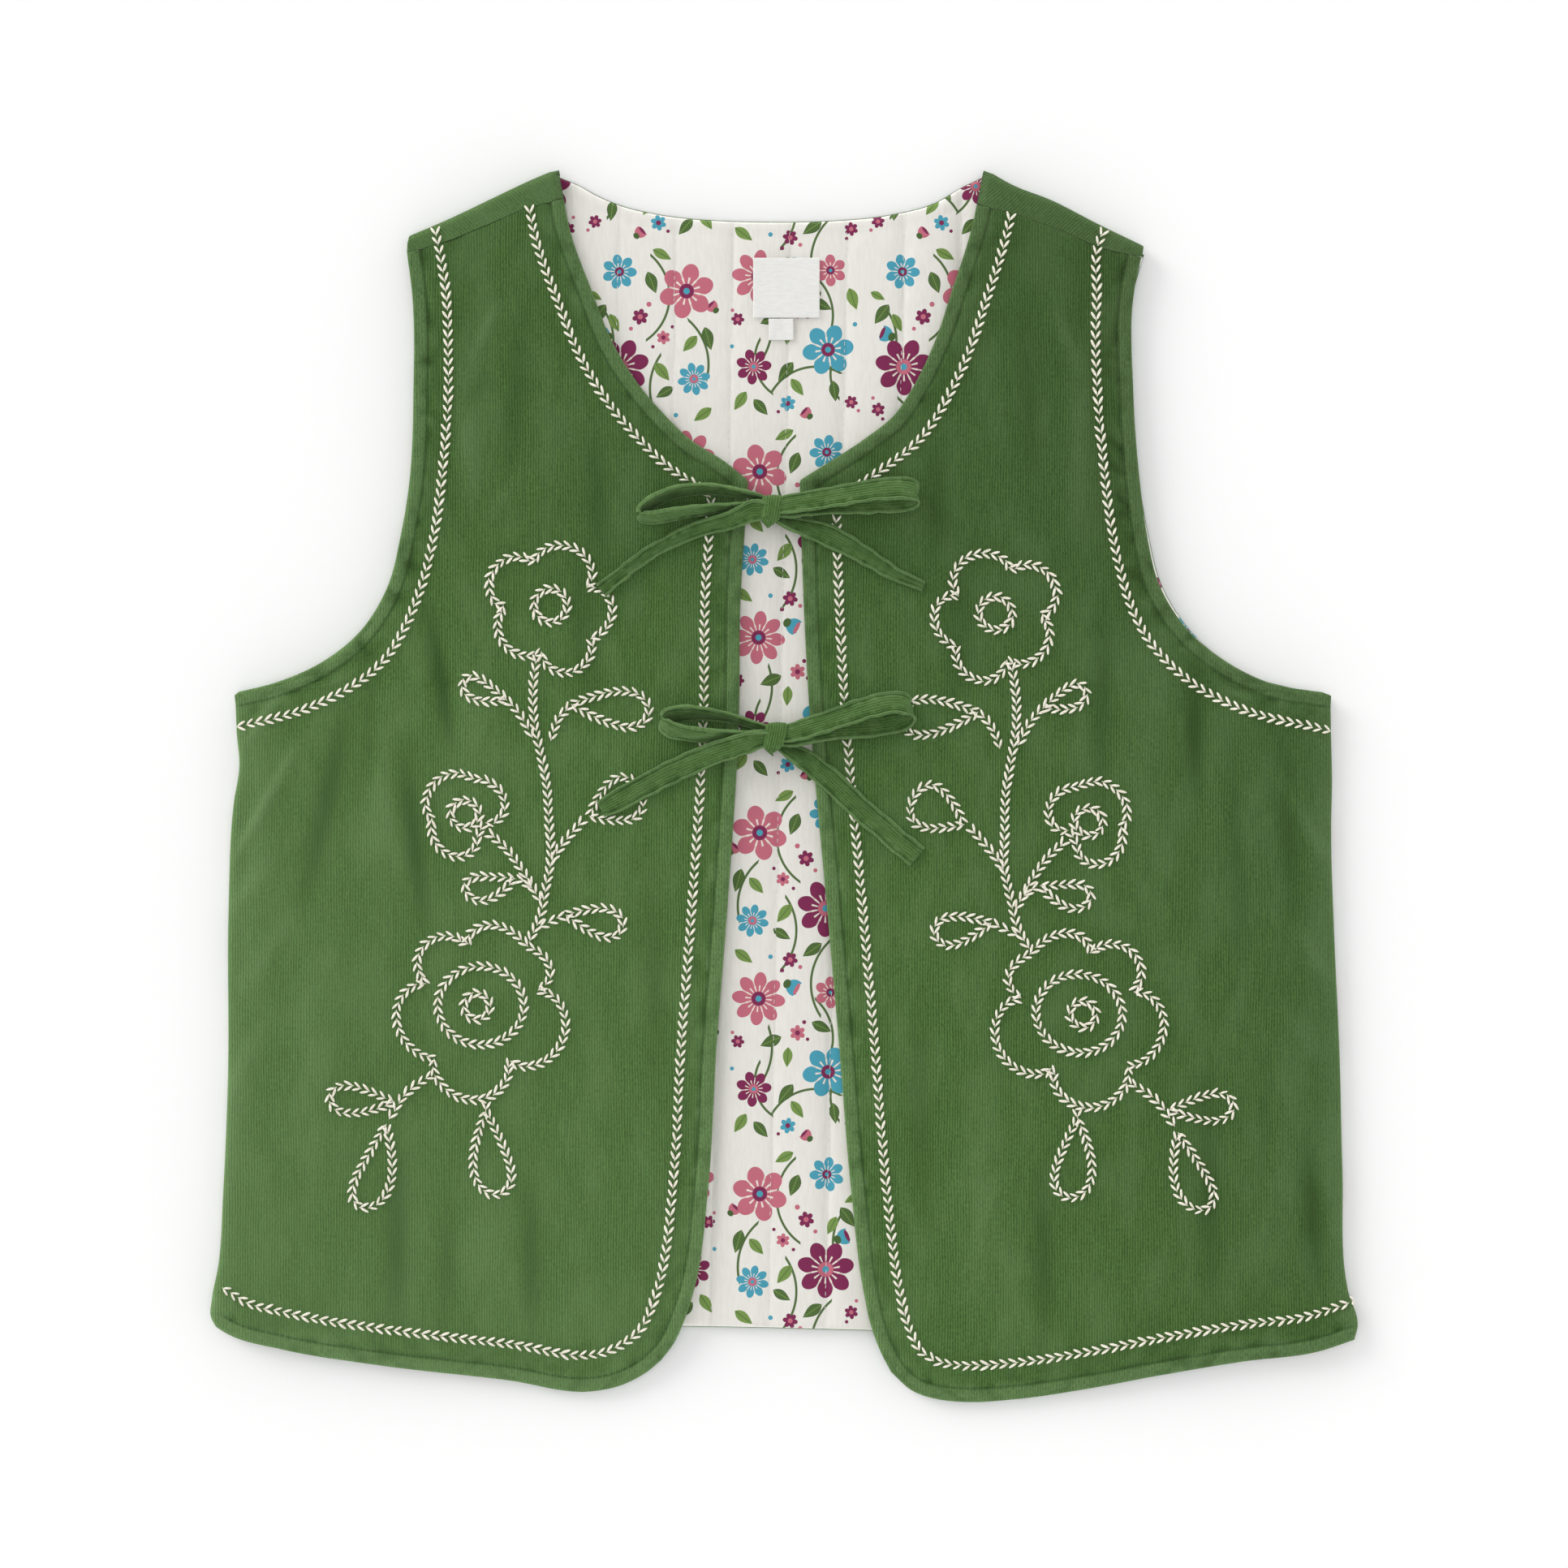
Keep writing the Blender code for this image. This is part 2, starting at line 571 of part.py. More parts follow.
def ribbon(name, centres, leans, widths, look, band_side=None, across=3):
    """A band along its centre points, leaning by an angle. Its side is given, or turns with it."""
    points = [Vector(centre) for centre in centres]
    last = len(points) - 1

    def place(column, row):
        ahead = points[min(row + 1, last)] - points[max(row - 1, 0)]
        ahead.normalize()
        flat = Vector((ahead.x, ahead.y))
        sideways = band_side if band_side else Vector((-flat.y, flat.x, 0.0)).normalized()
        if sideways.y < 0:
            sideways = -sideways
        lean = math.radians(leans[row])
        width_way = sideways * math.cos(lean) + Vector((0, 0, math.sin(lean)))
        width_way = (width_way - ahead * ahead.dot(width_way)).normalized()
        return points[row] + width_way * widths[row] * (column / (across - 1) - 0.5)

    return grid_object(name, across, last + 1, place, look, TIE_WALL, 0.0)


def build_loop(name, look, steps=18):
    """A bow's loop: out from the knot, round its tip and back, as a teardrop."""
    x0, y0, x1, y1, height, spread, lift, lean, arch, pointed, knot_level, knot_width = LOOPS[name]
    axis = Vector((x1 - x0, y1 - y0, 0.0))
    sideways = Vector((-axis.y, axis.x, 0.0)).normalized()
    if sideways.y < 0:
        sideways = -sideways
    opening = Vector((sideways.x * spread, sideways.y * spread, lift))
    centres, widths = [], []
    for step in range(steps + 1):
        turn = 2 * math.pi * step / steps
        along = math.sin(turn / 2) ** pointed
        opened = ease(along / LOOP_GATHER)
        level = knot_level + (height - knot_level) * opened
        centre = Vector((x0, y0, level)) + axis * along + sideways * arch * math.sin(math.pi * along)
        centre += opening * math.sin(turn) * math.sin(turn / 2)
        centre += opening.normalized() * LOOP_KNOT_HALF * math.cos(turn / 2)
        centres.append(centre)
        widths.append(knot_width + (TIE_WIDTH - knot_width) * opened)
    return ribbon(name, centres, [lean] * (steps + 1), widths, look, band_side=sideways)


def build_tail(name, look):
    """A tail from the knot to its cut end."""
    rows = smooth(TAILS[name], steps=3)
    centres = [row[:3] for row in rows]
    return ribbon(name, centres, [row[3] for row in rows], [row[4] for row in rows], look)


def build_root(name, look):
    """The short stretch of a tie between the front's edge and the knot."""
    rows = ROOTS[name]
    leans, widths = [0.0] * len(rows), [ROOT_WIDTH] * len(rows)
    return ribbon(name, rows, leans, widths, look, band_side=Vector((0, 1, 0)))


def centre_on_origin():
    """Moves every solid so that the garment's box stands centred on the origin."""
    depsgraph = bpy.context.evaluated_depsgraph_get()
    corners = []
    for made in garment.objects:
        shown = made.evaluated_get(depsgraph)
        corners += [shown.matrix_world @ Vector(corner) for corner in shown.bound_box]
    middle = [(min(c[axis] for c in corners) + max(c[axis] for c in corners)) / 2 for axis in (0, 1)]
    for made in garment.objects:
        for vert in made.data.vertices:
            vert.co.x -= middle[0]
            vert.co.y -= middle[1]


clear_scene()
garment = bpy.data.collections.new("waistcoat")
bpy.context.scene.collection.children.link(garment)
BACK_HEM_EDGE = Edge(0, BACK_HEM)

cord_green = material("needlecord_green", GREEN, 0.85)
tie_green = material("tie_green", GREEN_TIE, 0.85)
printed_cotton = material("printed_cotton", PRINTED_COTTON, 0.8)
woven_white = material("woven_white", LABEL_WHITE, 0.6)

build_back(cord_green)
build_lining(printed_cotton)
build_front(
    "front_left", LEFT_SIDE, LEFT_ARMHOLE, LEFT_FRONT_EDGE, LEFT_NECK, LEFT_HEM,
    LEFT_SHOULDER_SEAM, cord_green.copy(), mirrored=False,
)
build_front(
    "front_right", RIGHT_SIDE, RIGHT_ARMHOLE, RIGHT_FRONT_EDGE, RIGHT_NECK, RIGHT_HEM,
    RIGHT_SHOULDER_SEAM, cord_green.copy(), mirrored=True,
)
build_box("label", *LABEL, LINING_TOP + SEAM_GAP, LABEL_WALL, woven_white)
build_box("size_tab", *SIZE_TAB, LINING_TOP + SEAM_GAP, LABEL_WALL, woven_white.copy())
for bow, (knot_x, knot_y, knot_width, knot_length, knot_aside) in KNOTS.items():
    build_knot(bow + "_knot", knot_x, knot_y, knot_width, knot_length, knot_aside, tie_green.copy())
for loop in LOOPS:
    build_loop(loop, tie_green.copy())
for tail in TAILS:
    build_tail(tail, tie_green.copy())
for root in ROOTS:
    build_root(root, tie_green.copy())
centre_on_origin()
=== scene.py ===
"""A tie-front quilted waistcoat laid flat: its cloth, embroidery and stitching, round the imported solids.

Lengths in the tables and in the working arrays are millimetres before the garment is centred.
+X is to the viewer's right, +Y runs to the shoulders, +Z is up.
"""

import math
import random

import bpy
import numpy as np
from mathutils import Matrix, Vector
from mathutils.bvhtree import BVHTree

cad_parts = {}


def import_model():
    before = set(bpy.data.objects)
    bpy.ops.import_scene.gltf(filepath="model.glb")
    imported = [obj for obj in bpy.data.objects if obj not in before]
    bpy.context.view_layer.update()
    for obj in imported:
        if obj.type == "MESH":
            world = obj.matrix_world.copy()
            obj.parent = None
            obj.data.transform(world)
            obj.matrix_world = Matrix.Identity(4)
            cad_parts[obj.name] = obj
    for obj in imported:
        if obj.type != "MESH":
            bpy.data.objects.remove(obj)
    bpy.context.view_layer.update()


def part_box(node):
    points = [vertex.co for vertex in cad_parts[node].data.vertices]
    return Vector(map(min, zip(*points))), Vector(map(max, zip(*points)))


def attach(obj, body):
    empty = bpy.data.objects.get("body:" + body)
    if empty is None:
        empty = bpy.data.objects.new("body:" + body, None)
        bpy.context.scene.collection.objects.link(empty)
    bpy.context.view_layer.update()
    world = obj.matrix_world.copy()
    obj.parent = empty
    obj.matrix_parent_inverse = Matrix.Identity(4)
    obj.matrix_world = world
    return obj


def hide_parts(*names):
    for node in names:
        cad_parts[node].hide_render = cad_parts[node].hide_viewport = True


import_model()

MM = 0.001

# Walls and the heights at which the layers lie
SEAM_GAP = 0.3
BACK_WALL = 2.0
LINING_BASE = BACK_WALL + SEAM_GAP
LINING_THIN = 0.9
QUILT_RISE = 1.1
LINING_TOP = LINING_BASE + LINING_THIN + QUILT_RISE
FRONT_TOP = 7.6
FRONT_WALL = 2.6
FOLD_RADIUS = FRONT_TOP / 2
SIDE_SEAM_LOW = 3.3
SIDE_SEAM_HIGH = 4.1
CORNER_SAG = 3.2
SAG_LENGTH = 28.0
CURL_FADE = 9.0
BEND_FADE = 2.5
QUILT_PITCH = 26.6
QUILT_MIDDLE = -2.5
QUILT_SLANT = 0.02
TIE_WIDTH = 11.0
TIE_WALL = 1.6
ROOT_WIDTH = 7.6

# Edges of the left front, each row (x, y), going up or from the side to the middle
LEFT_SIDE = [
    (-264.6, -252.7), (-266.9, -248.2), (-266.5, -240.2), (-263.5, -224.7), (-261.2, -190.7),
    (-258.9, -134.0), (-258.7, -60.0), (-256.3, -9.3), (-253.6, 9.3), (-254.8, 22.9), (-255.5, 42.5),
]
LEFT_ARMHOLE = [
    (-255.5, 42.5), (-235.9, 47.4), (-211.7, 58.8), (-198.1, 70.1), (-184.1, 92.8),
    (-178.4, 115.5), (-174.6, 138.2), (-172.4, 183.5), (-173.1, 228.9), (-175.4, 247.0),
]
LEFT_FRONT_EDGE = [
    (-57.1, -268.2), (-51.0, -259.9), (-47.6, -252.7), (-41.6, -234.5), (-35.5, -190.7),
    (-31.4, -122.7), (-26.1, -54.6), (-20.8, 36.1), (-20.4, 81.5), (-16.6, 141.2),
]
LEFT_NECK = [
    (-16.6, 141.2), (-26.8, 149.5), (-44.2, 160.8), (-55.9, 172.2), (-65.8, 183.5),
    (-80.1, 206.2), (-89.2, 228.9), (-100.2, 260.3), (-102.4, 272.3),
]
LEFT_HEM = [
    (-264.6, -252.7), (-259.7, -255.7), (-233.2, -263.3), (-190.1, -270.5), (-129.7, -277.6),
    (-88.5, -282.9), (-76.4, -280.3), (-64.3, -274.2), (-57.1, -268.2),
]
LEFT_SHOULDER_SEAM = [(-175.4, 247.0), (-156.1, 252.7), (-138.7, 259.9), (-118.7, 267.8), (-102.4, 272.3)]
LEFT_SHOULDER_FOLD = [(-175.0, 255.0), (-155.7, 263.3), (-136.8, 272.3), (-117.6, 281.4), (-105.1, 286.7)]

# Edges of the right front in the same order
RIGHT_SIDE = [
    (265.7, -258.7), (267.2, -252.3), (262.7, -236.1), (260.1, -179.4), (258.6, -122.7),
    (256.3, -71.6), (254.8, -20.6), (255.2, 2.1), (254.8, 21.4), (254.4, 42.1),
]
RIGHT_ARMHOLE = [
    (254.4, 42.1), (224.9, 47.4), (203.0, 58.8), (189.4, 70.1), (174.6, 92.8),
    (169.0, 115.5), (165.9, 138.2), (162.5, 183.5), (162.9, 228.9), (166.3, 245.1),
]
RIGHT_FRONT_EDGE = [
    (49.9, -273.9), (45.0, -264.4), (41.2, -254.6), (37.0, -236.1), (31.4, -190.7),
    (25.7, -122.7), (19.7, -54.6), (11.7, 36.1), (9.8, 70.1), (7.2, 141.2),
]
RIGHT_NECK = [
    (7.2, 141.2), (20.4, 149.5), (37.8, 160.8), (51.8, 172.2), (59.3, 183.5),
    (70.3, 206.2), (77.9, 228.9), (87.7, 260.3), (89.6, 269.3),
]
RIGHT_HEM = [
    (265.7, -258.7), (249.5, -264.0), (213.6, -268.9), (177.3, -275.0), (141.0, -281.8),
    (111.1, -286.3), (80.9, -287.8), (71.8, -286.7), (59.7, -282.6), (49.9, -273.9),
]
RIGHT_SHOULDER_SEAM = [(166.3, 245.1), (145.5, 250.0), (134.9, 254.6), (105.8, 265.2), (89.6, 269.3)]
RIGHT_SHOULDER_FOLD = [(167.8, 250.4), (146.7, 260.6), (122.8, 272.7), (107.7, 278.4), (93.0, 286.7)]

# The back's own edges
BACK_LEFT_ARMHOLE = LEFT_ARMHOLE[:-1] + [(-175.3, 251.2)]
BACK_RIGHT_ARMHOLE = [
    (254.4, 42.1), (224.9, 47.4), (203.0, 58.9), (190.0, 70.8), (175.7, 93.6),
    (170.0, 115.9), (166.0, 138.4), (162.5, 183.5), (162.9, 228.9), (167.4, 246.6),
]
BACK_NECK = [
    (-96.4, 279.4), (-86.9, 274.2), (-74.8, 269.3), (-60.5, 265.9), (-47.6, 264.0), (-26.8, 262.5),
    (-6.0, 262.0), (20.4, 262.5), (50.3, 265.5), (69.6, 270.5), (83.8, 278.6),
]
BACK_HEM = [
    (-264.6, -252.7), (-180.0, -255.0), (-48.0, -252.9), (41.0, -254.8), (180.0, -258.5), (265.7, -258.7),
]

# Soft folds of the fronts, each row (x and y of one end, x and y of the other, half width, height)
FRONT_FOLDS = [
    (-187.0, 50.0, -186.0, -70.0, 9.0, 1.3),
    (-152.0, 80.0, -138.0, -40.0, 10.0, 1.0),
    (-238.0, 20.0, -246.0, -110.0, 9.0, 1.1),
    (-210.0, -30.0, -222.0, -200.0, 12.0, 1.0),
    (-134.0, -165.0, -132.0, -262.0, 11.0, 1.0),
    (206.0, 45.0, 212.0, -70.0, 12.0, 1.0),
    (170.0, 75.0, 164.0, -60.0, 11.0, 0.9),
    (226.0, -110.0, 230.0, -235.0, 12.0, 1.0),
    (92.0, -150.0, 96.0, -262.0, 12.0, 0.9),
]

# Smaller creases, in the same columns; a trough's height is negative
CREASES = [
    (-166.0, 88.0, -152.0, 6.0, 4.0, -1.5),
    (-179.0, 26.0, -165.0, -76.0, 4.6, -1.3),
    (-201.0, 44.0, -224.0, -62.0, 5.4, -1.2),
    (-190.0, 60.0, -196.0, -20.0, 4.2, -0.7),
    (-179.0, -165.0, -180.0, -262.0, 5.4, -1.1),
    (-118.0, -178.0, -117.0, -264.0, 4.6, -1.0),
    (-155.0, -190.0, -158.0, -266.0, 4.4, -0.6),
    (-258.0, -40.0, -224.0, 24.0, 2.2, 1.2),
    (-252.0, 16.0, -234.0, 44.0, 2.4, 0.9),
    (-260.0, -64.0, -236.0, -30.0, 4.0, 0.7),
    (-252.0, -96.0, -228.0, -60.0, 3.6, 0.5),
    (-262.0, -150.0, -240.0, -108.0, 4.4, 0.6),
    (-131.0, 228.0, -147.0, 194.0, 3.0, 0.6),
    (-96.0, 120.0, -88.0, 20.0, 7.0, -0.6),
    (-62.0, -20.0, -58.0, -150.0, 6.0, -0.6),
    (-88.0, 170.0, -84.0, 96.0, 5.6, -0.8),
    (-150.0, 215.0, -146.0, 120.0, 6.0, 0.6),
    (-120.0, 230.0, -128.0, 130.0, 5.0, -0.6),
    (191.0, 58.0, 192.0, -12.0, 4.6, -1.4),
    (206.0, 40.0, 214.0, -90.0, 5.0, -0.9),
    (232.0, 30.0, 238.0, -70.0, 5.0, -0.9),
    (150.0, 96.0, 147.0, -20.0, 5.0, -0.8),
    (243.0, -160.0, 249.0, -240.0, 5.2, -1.2),
    (226.0, -120.0, 222.0, -200.0, 4.6, -0.7),
    (196.0, -120.0, 200.0, -250.0, 5.8, -0.8),
    (120.0, -170.0, 122.0, -268.0, 5.0, -0.9),
    (62.0, -90.0, 66.0, -220.0, 6.0, -0.6),
    (256.0, -40.0, 228.0, 8.0, 3.6, 0.8),
    (257.0, -96.0, 236.0, -60.0, 4.0, 0.7),
    (250.0, -130.0, 230.0, -100.0, 3.6, 0.5),
    (140.0, 214.0, 136.0, 118.0, 6.0, 0.6),
    (112.0, 232.0, 116.0, 130.0, 5.0, -0.6),
    (124.0, 226.0, 138.0, 192.0, 3.0, 0.5),
    (84.0, 118.0, 80.0, 20.0, 7.0, -0.6),
    (70.0, 166.0, 72.0, 96.0, 5.4, -0.7),
    (150.0, 162.4, 160.0, 152.6, 1.9, -1.1),
    (150.2, 149.6, 160.6, 142.4, 1.8, -1.0),
    (152.6, 136.0, 162.4, 127.2, 1.9, -1.1),
    (153.4, 127.2, 162.6, 123.6, 1.7, -0.8),
    (157.4, 101.0, 166.4, 94.0, 1.9, -1.0),
    (171.0, 78.0, 180.0, 84.0, 1.8, -0.8),
    (180.0, 62.0, 192.0, 71.0, 1.9, -0.8),
    (204.0, 44.0, 210.0, 56.0, 1.9, -0.7),
    (146.6, 201.0, 160.6, 197.0, 1.8, -0.6),
    (-160.6, 195.4, -170.0, 197.8, 1.8, -0.8),
    (-159.8, 171.4, -171.0, 172.8, 1.8, -0.8),
    (-166.0, 98.0, -180.0, 104.6, 1.9, -0.9),
    (-175.0, 84.0, -186.4, 92.0, 1.8, -0.9),
    (-192.0, 56.0, -199.0, 68.4, 1.9, -0.8),
    (-214.0, 42.0, -219.0, 53.0, 1.8, -0.7),
    (-150.0, 168.0, -136.0, 196.0, 3.4, -0.5),
    (-138.0, 120.0, -120.0, 150.0, 3.6, 0.5),
]

# Bows: x and y of the knot's middle, its width, its length and how far its lower end is drawn aside
KNOTS = {"top": (-4.9, 126.6, 11.2, 15.6, -2.6), "lower": (-3.0, 21.2, 11.6, 15.2, -3.2)}
KNOT_BOTTOM = LINING_TOP + SEAM_GAP
KNOT_HEIGHT = 12.4

# Loops: x and y at the knot, x and y at the tip, height, spread in plan, lift, lean in degrees, arch,
# how pointed the tip is, then height and width at the knot
LOOPS = {
    "top_loop_left": (-12.2, 131.8, -67.0, 125.6, 13.6, 5.6, 0.0, 62.0, 3.2, 2.0, 11.2, 5.4),
    "top_loop_right": (2.0, 128.8, 61.4, 134.8, 13.4, 3.0, 3.4, -14.0, 0.8, 1.0, 13.4, 9.6),
    "lower_loop_left": (-10.6, 24.8, -56.4, 29.4, 13.8, 5.4, -1.2, 50.0, 0.0, 2.0, 11.0, 5.4),
    "lower_loop_right": (4.2, 22.8, 58.6, 34.6, 13.6, 5.2, 3.6, -12.0, 0.8, 1.0, 13.6, 9.6),
}
LOOP_KNOT_HALF = 1.5
LOOP_GATHER = 0.8

# Tails: rows (x, y, height, lean in degrees, width) from the knot to the cut end
TAILS = {
    "top_tail_left": [
        (-13.2, 126.7, 14.9, 14.0, 10.2), (-17.6, 125.4, 14.6, 22.0, 9.8), (-23.6, 122.6, 13.2, 26.0, 9.4),
        (-38.6, 118.7, 10.6, 14.0, 8.2), (-58.4, 109.6, 9.4, 4.0, 6.8), (-70.0, 102.0, 9.1, 2.0, 6.8),
        (-85.1, 89.8, 8.9, 0.0, 7.4),
    ],
    "top_tail_right": [
        (-0.8, 122.4, 10.6, -40.0, 6.4), (9.4, 119.2, 10.0, -16.0, 8.8), (19.8, 115.8, 9.4, -4.0, 10.8),
        (37.8, 106.2, 9.1, 0.0, 8.8), (50.6, 98.2, 9.0, 0.0, 6.8), (64.9, 91.8, 8.9, 0.0, 5.0),
    ],
    "lower_tail_left": [
        (-11.6, 20.3, 14.8, 10.0, 8.4), (-17.0, 19.0, 14.6, 14.0, 10.2), (-29.7, 15.2, 13.4, 16.0, 11.0),
        (-49.0, 7.1, 10.0, 5.0, 11.2), (-68.2, -2.7, 9.1, 0.0, 11.0), (-77.9, -8.2, 8.9, 0.0, 10.4),
        (-85.3, -11.8, 8.9, 0.0, 8.0),
    ],
    "lower_tail_right": [
        (1.0, 16.2, 10.4, -34.0, 7.4), (9.6, 11.4, 9.8, -14.0, 9.8), (20.8, 2.5, 9.2, 0.0, 11.0),
        (37.0, -12.6, 9.0, 0.0, 11.0), (53.4, -26.8, 8.9, 0.0, 11.0), (62.0, -33.9, 8.9, 0.0, 11.2),
    ],
}

# Roots: rows (x, y, height) from the front's edge to the knot
ROOTS = {
    "top_root_left": [(-16.6, 129.4, 6.3), (-13.8, 129.4, 6.5), (-10.8, 129.4, 7.1)],
    "top_root_right": [(7.0, 129.4, 6.3), (4.2, 129.4, 6.5), (1.0, 129.4, 7.1)],
    "lower_root_left": [(-20.3, 24.2, 6.3), (-15.4, 24.2, 6.5), (-9.8, 24.2, 7.1)],
    "lower_root_right": [(11.8, 24.2, 6.3), (7.8, 24.2, 6.5), (3.2, 24.2, 7.1)],
}

# Labels: left, right, lower and upper edge
LABEL = (-14.4, 16.6, 217.0, 245.0)
SIZE_TAB = (-7.2, 4.4, 206.6, 216.7)

# Embroidery of the left front; the right front's is its mirror image
MIRROR_X = -3.2
BORDER_INSET = 16.5
HEM_INSET = 17.4
# Borders along the armholes, from the shoulder fold to the side
LEFT_ARM_BORDER = [
    (-162.4, 259.2), (-159.7, 244.8), (-157.2, 229.1), (-156.2, 205.0), (-156.1, 182.0), (-158.5, 148.9),
    (-161.6, 122.5), (-164.7, 106.3), (-172.9, 80.5), (-184.8, 58.8), (-219.2, 36.1), (-254.6, 26.4),
]
RIGHT_ARM_BORDER = [
    (149.2, 258.4), (145.9, 250.4), (145.5, 227.7), (144.8, 207.0), (145.5, 186.5), (148.6, 148.7),
    (153.7, 111.3), (162.5, 80.0), (167.5, 70.1), (189.0, 47.4), (209.4, 36.1), (254.6, 24.6),
]
# Flowers: middle x and y, then a row (notch angle, notch radius, radius of the lobe after it) for each notch
FLOWERS = [
    ((-108.5, 83.0), [
        (26, 18.9, 28.9), (113, 21.2, 31.5), (184, 21.0, 28.4), (258, 21.8, 32.6), (320, 24.0, 29.0),
    ]),
    ((-141.0, -103.0), [
        (15, 27.7, 37.4), (53, 35.0, 38.0), (104, 28.7, 38.6), (158, 27.2, 40.0), (228, 32.4, 44.2),
        (297, 28.3, 41.6),
    ]),
    ((-147.5, -13.6), [(-27, 9.7, 18.8), (84, 16.0, 20.8), (193, 16.0, 21.2), (298, 10.3, 9.9)]),
]
# Rings: middle x and y, half width and half height
RINGS = [
    (-108.5, 83.0, 8.0, 8.0),
    (-141.0, -103.0, 20.2, 18.4),
    (-142.8, -103.4, 6.4, 6.4),
    (-148.4, -14.0, 7.0, 6.6),
]
# Stems: rows (x, y)
STEMS = [
    [(-114.8, 60.1), (-116.6, 47.0), (-116.2, 29.7), (-113.3, 14.6), (-110.4, 0.0), (-109.3, -17.9),
     (-108.5, -36.1), (-110.6, -47.4), (-114.1, -63.9), (-118.4, -72.6)],
    [(-129.2, 39.2), (-124.0, 34.0), (-116.9, 21.8)],
    [(-98.8, 37.0), (-104.6, 31.0), (-108.4, 20.3)],
    [(-138.0, -22.2), (-128.4, -30.9), (-120.6, -42.1), (-113.2, -54.4)],
    [(-92.8, -16.1), (-98.1, -22.2), (-103.3, -28.3), (-108.0, -36.0)],
    [(-125.0, -43.9), (-120.6, -45.2), (-117.2, -48.4)],
    [(-101.5, -60.9), (-107.6, -63.5), (-113.7, -66.5)],
    [(-163.3, -134.9), (-175.5, -143.5), (-183.6, -155.7)],
    [(-138.5, -147.0), (-138.6, -152.0)],
]
# Leaves: x and y of the base, x and y of the tip, half width, and how far the middle bends aside
LEAVES = [
    (-129.2, 39.2, -149.4, 47.8, 5.2, 1.0),
    (-98.8, 37.0, -62.6, 33.4, 8.5, 0.4),
    (-90.5, -15.0, -67.0, -3.0, 10.5, 0.0),
    (-125.0, -43.9, -148.6, -49.0, 6.0, 1.6),
    (-101.5, -60.9, -74.8, -66.4, 6.8, 0.2),
    (-181.6, -148.1, -211.6, -145.6, 6.6, 0.4),
    (-185.1, -158.7, -196.6, -197.0, 8.2, 2.0),
    (-138.6, -152.0, -133.0, -191.0, 8.8, -1.2),
]
CHEVRON_PITCH = 4.35
MOTIF_PITCH = 4.0

STITCH_INSET = 6.5
STITCH_PITCH = 3.1
TIE_STITCH_INSET = 1.7

CAMERA_HEIGHT = 2.499
LENS = 123.0
SENSOR = 36.0

label_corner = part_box("label")[0]
SHIFT = np.array([label_corner.x / MM - LABEL[0], label_corner.y / MM - LABEL[2], 0.0])


def world(points):
    """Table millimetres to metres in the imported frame."""
    return (np.asarray(points, float) + SHIFT) * MM


# Camera straight above, at the photograph's distance

lens = bpy.data.cameras.new("camera")
lens.lens = LENS
lens.sensor_width = SENSOR
camera = bpy.data.objects.new("camera", lens)
camera.location = (SHIFT[0] * MM, SHIFT[1] * MM, CAMERA_HEIGHT)
bpy.context.scene.collection.objects.link(camera)
bpy.context.scene.camera = camera


# Curves, edges and panels


def smooth(rows, steps=8):
    """Points of a curve that runs smoothly through the rows."""
    points = np.array(rows, float)
    gaps = np.linalg.norm(np.diff(points, axis=0), axis=1)
    slopes = np.diff(points, axis=0) / gaps[:, None]
    turns = [slopes[0]]
    for index in range(1, len(slopes)):
        near, far = gaps[index - 1], gaps[index]
        turns.append((slopes[index - 1] * far + slopes[index] * near) / (near + far))
    turns.append(slopes[-1])
    curve = []
    for index, gap in enumerate(gaps):
        for step in range(steps):
            t = step / steps
            start = points[index] * (2 * t**3 - 3 * t**2 + 1) + turns[index] * gap * (t**3 - 2 * t**2 + t)
            end = points[index + 1] * (3 * t**2 - 2 * t**3) + turns[index + 1] * gap * (t**3 - t**2)
            curve.append(start + end)
    curve.append(points[-1])
    return np.array(curve)


def ease(value):
    """0 below 0, 1 above 1, and a soft step between."""
    t = np.clip(value, 0.0, 1.0)
    return t * t * (3 - 2 * t)


def rounded(distance, radius):
    """Share of the full height at a distance from a rounded edge."""
    t = 1 - np.clip(distance / radius, 0.0, 1.0)
    return np.sqrt(1 - t * t)


def evenly(line, pitch):
    """Points at an even pitch along a line of points."""
    line = np.asarray(line, float)
    run = np.concatenate([[0.0], np.cumsum(np.linalg.norm(np.diff(line, axis=0), axis=1))])
    count = max(int(round(run[-1] / pitch)), 1)
    goals = np.linspace(0.0, run[-1], count + 1)
    return np.stack([np.interp(goals, run, line[:, axis]) for axis in range(line.shape[1])], -1)


def nearest(points, line):
    """Distance from each point to a line, and how far along the line its nearest place is."""
    best = np.full(points.shape[:-1], 1e9)
    along = np.zeros(points.shape[:-1])
    travelled = 0.0
    for start, end in zip(line[:-1], line[1:]):
        run = end - start
        length = math.hypot(*run)
        if length == 0:
            continue
        share = np.clip(((points - start) @ run) / length**2, 0.0, 1.0)
        off = points - start - share[..., None] * run
        distance = np.hypot(off[..., 0], off[..., 1])
        closer = distance < best
        best = np.where(closer, distance, best)
        along = np.where(closer, travelled + share * length, along)
        travelled += length
    return best, along


class Edge:
    """A smooth edge through one or more stretches, found by its share of the way along one axis."""

    def __init__(self, axis, *stretches):
        self.points = np.vstack([smooth(rows) for rows in stretches])
        self.first, self.last = self.points[0, axis], self.points[-1, axis]
        self.shares = np.maximum.accumulate((self.points[:, axis] - self.first) / (self.last - self.first))

    def at(self, share):
        return np.stack([np.interp(share, self.shares, self.points[:, axis]) for axis in (0, 1)], -1)

    def share(self, value):
        return (value - self.first) / (self.last - self.first)


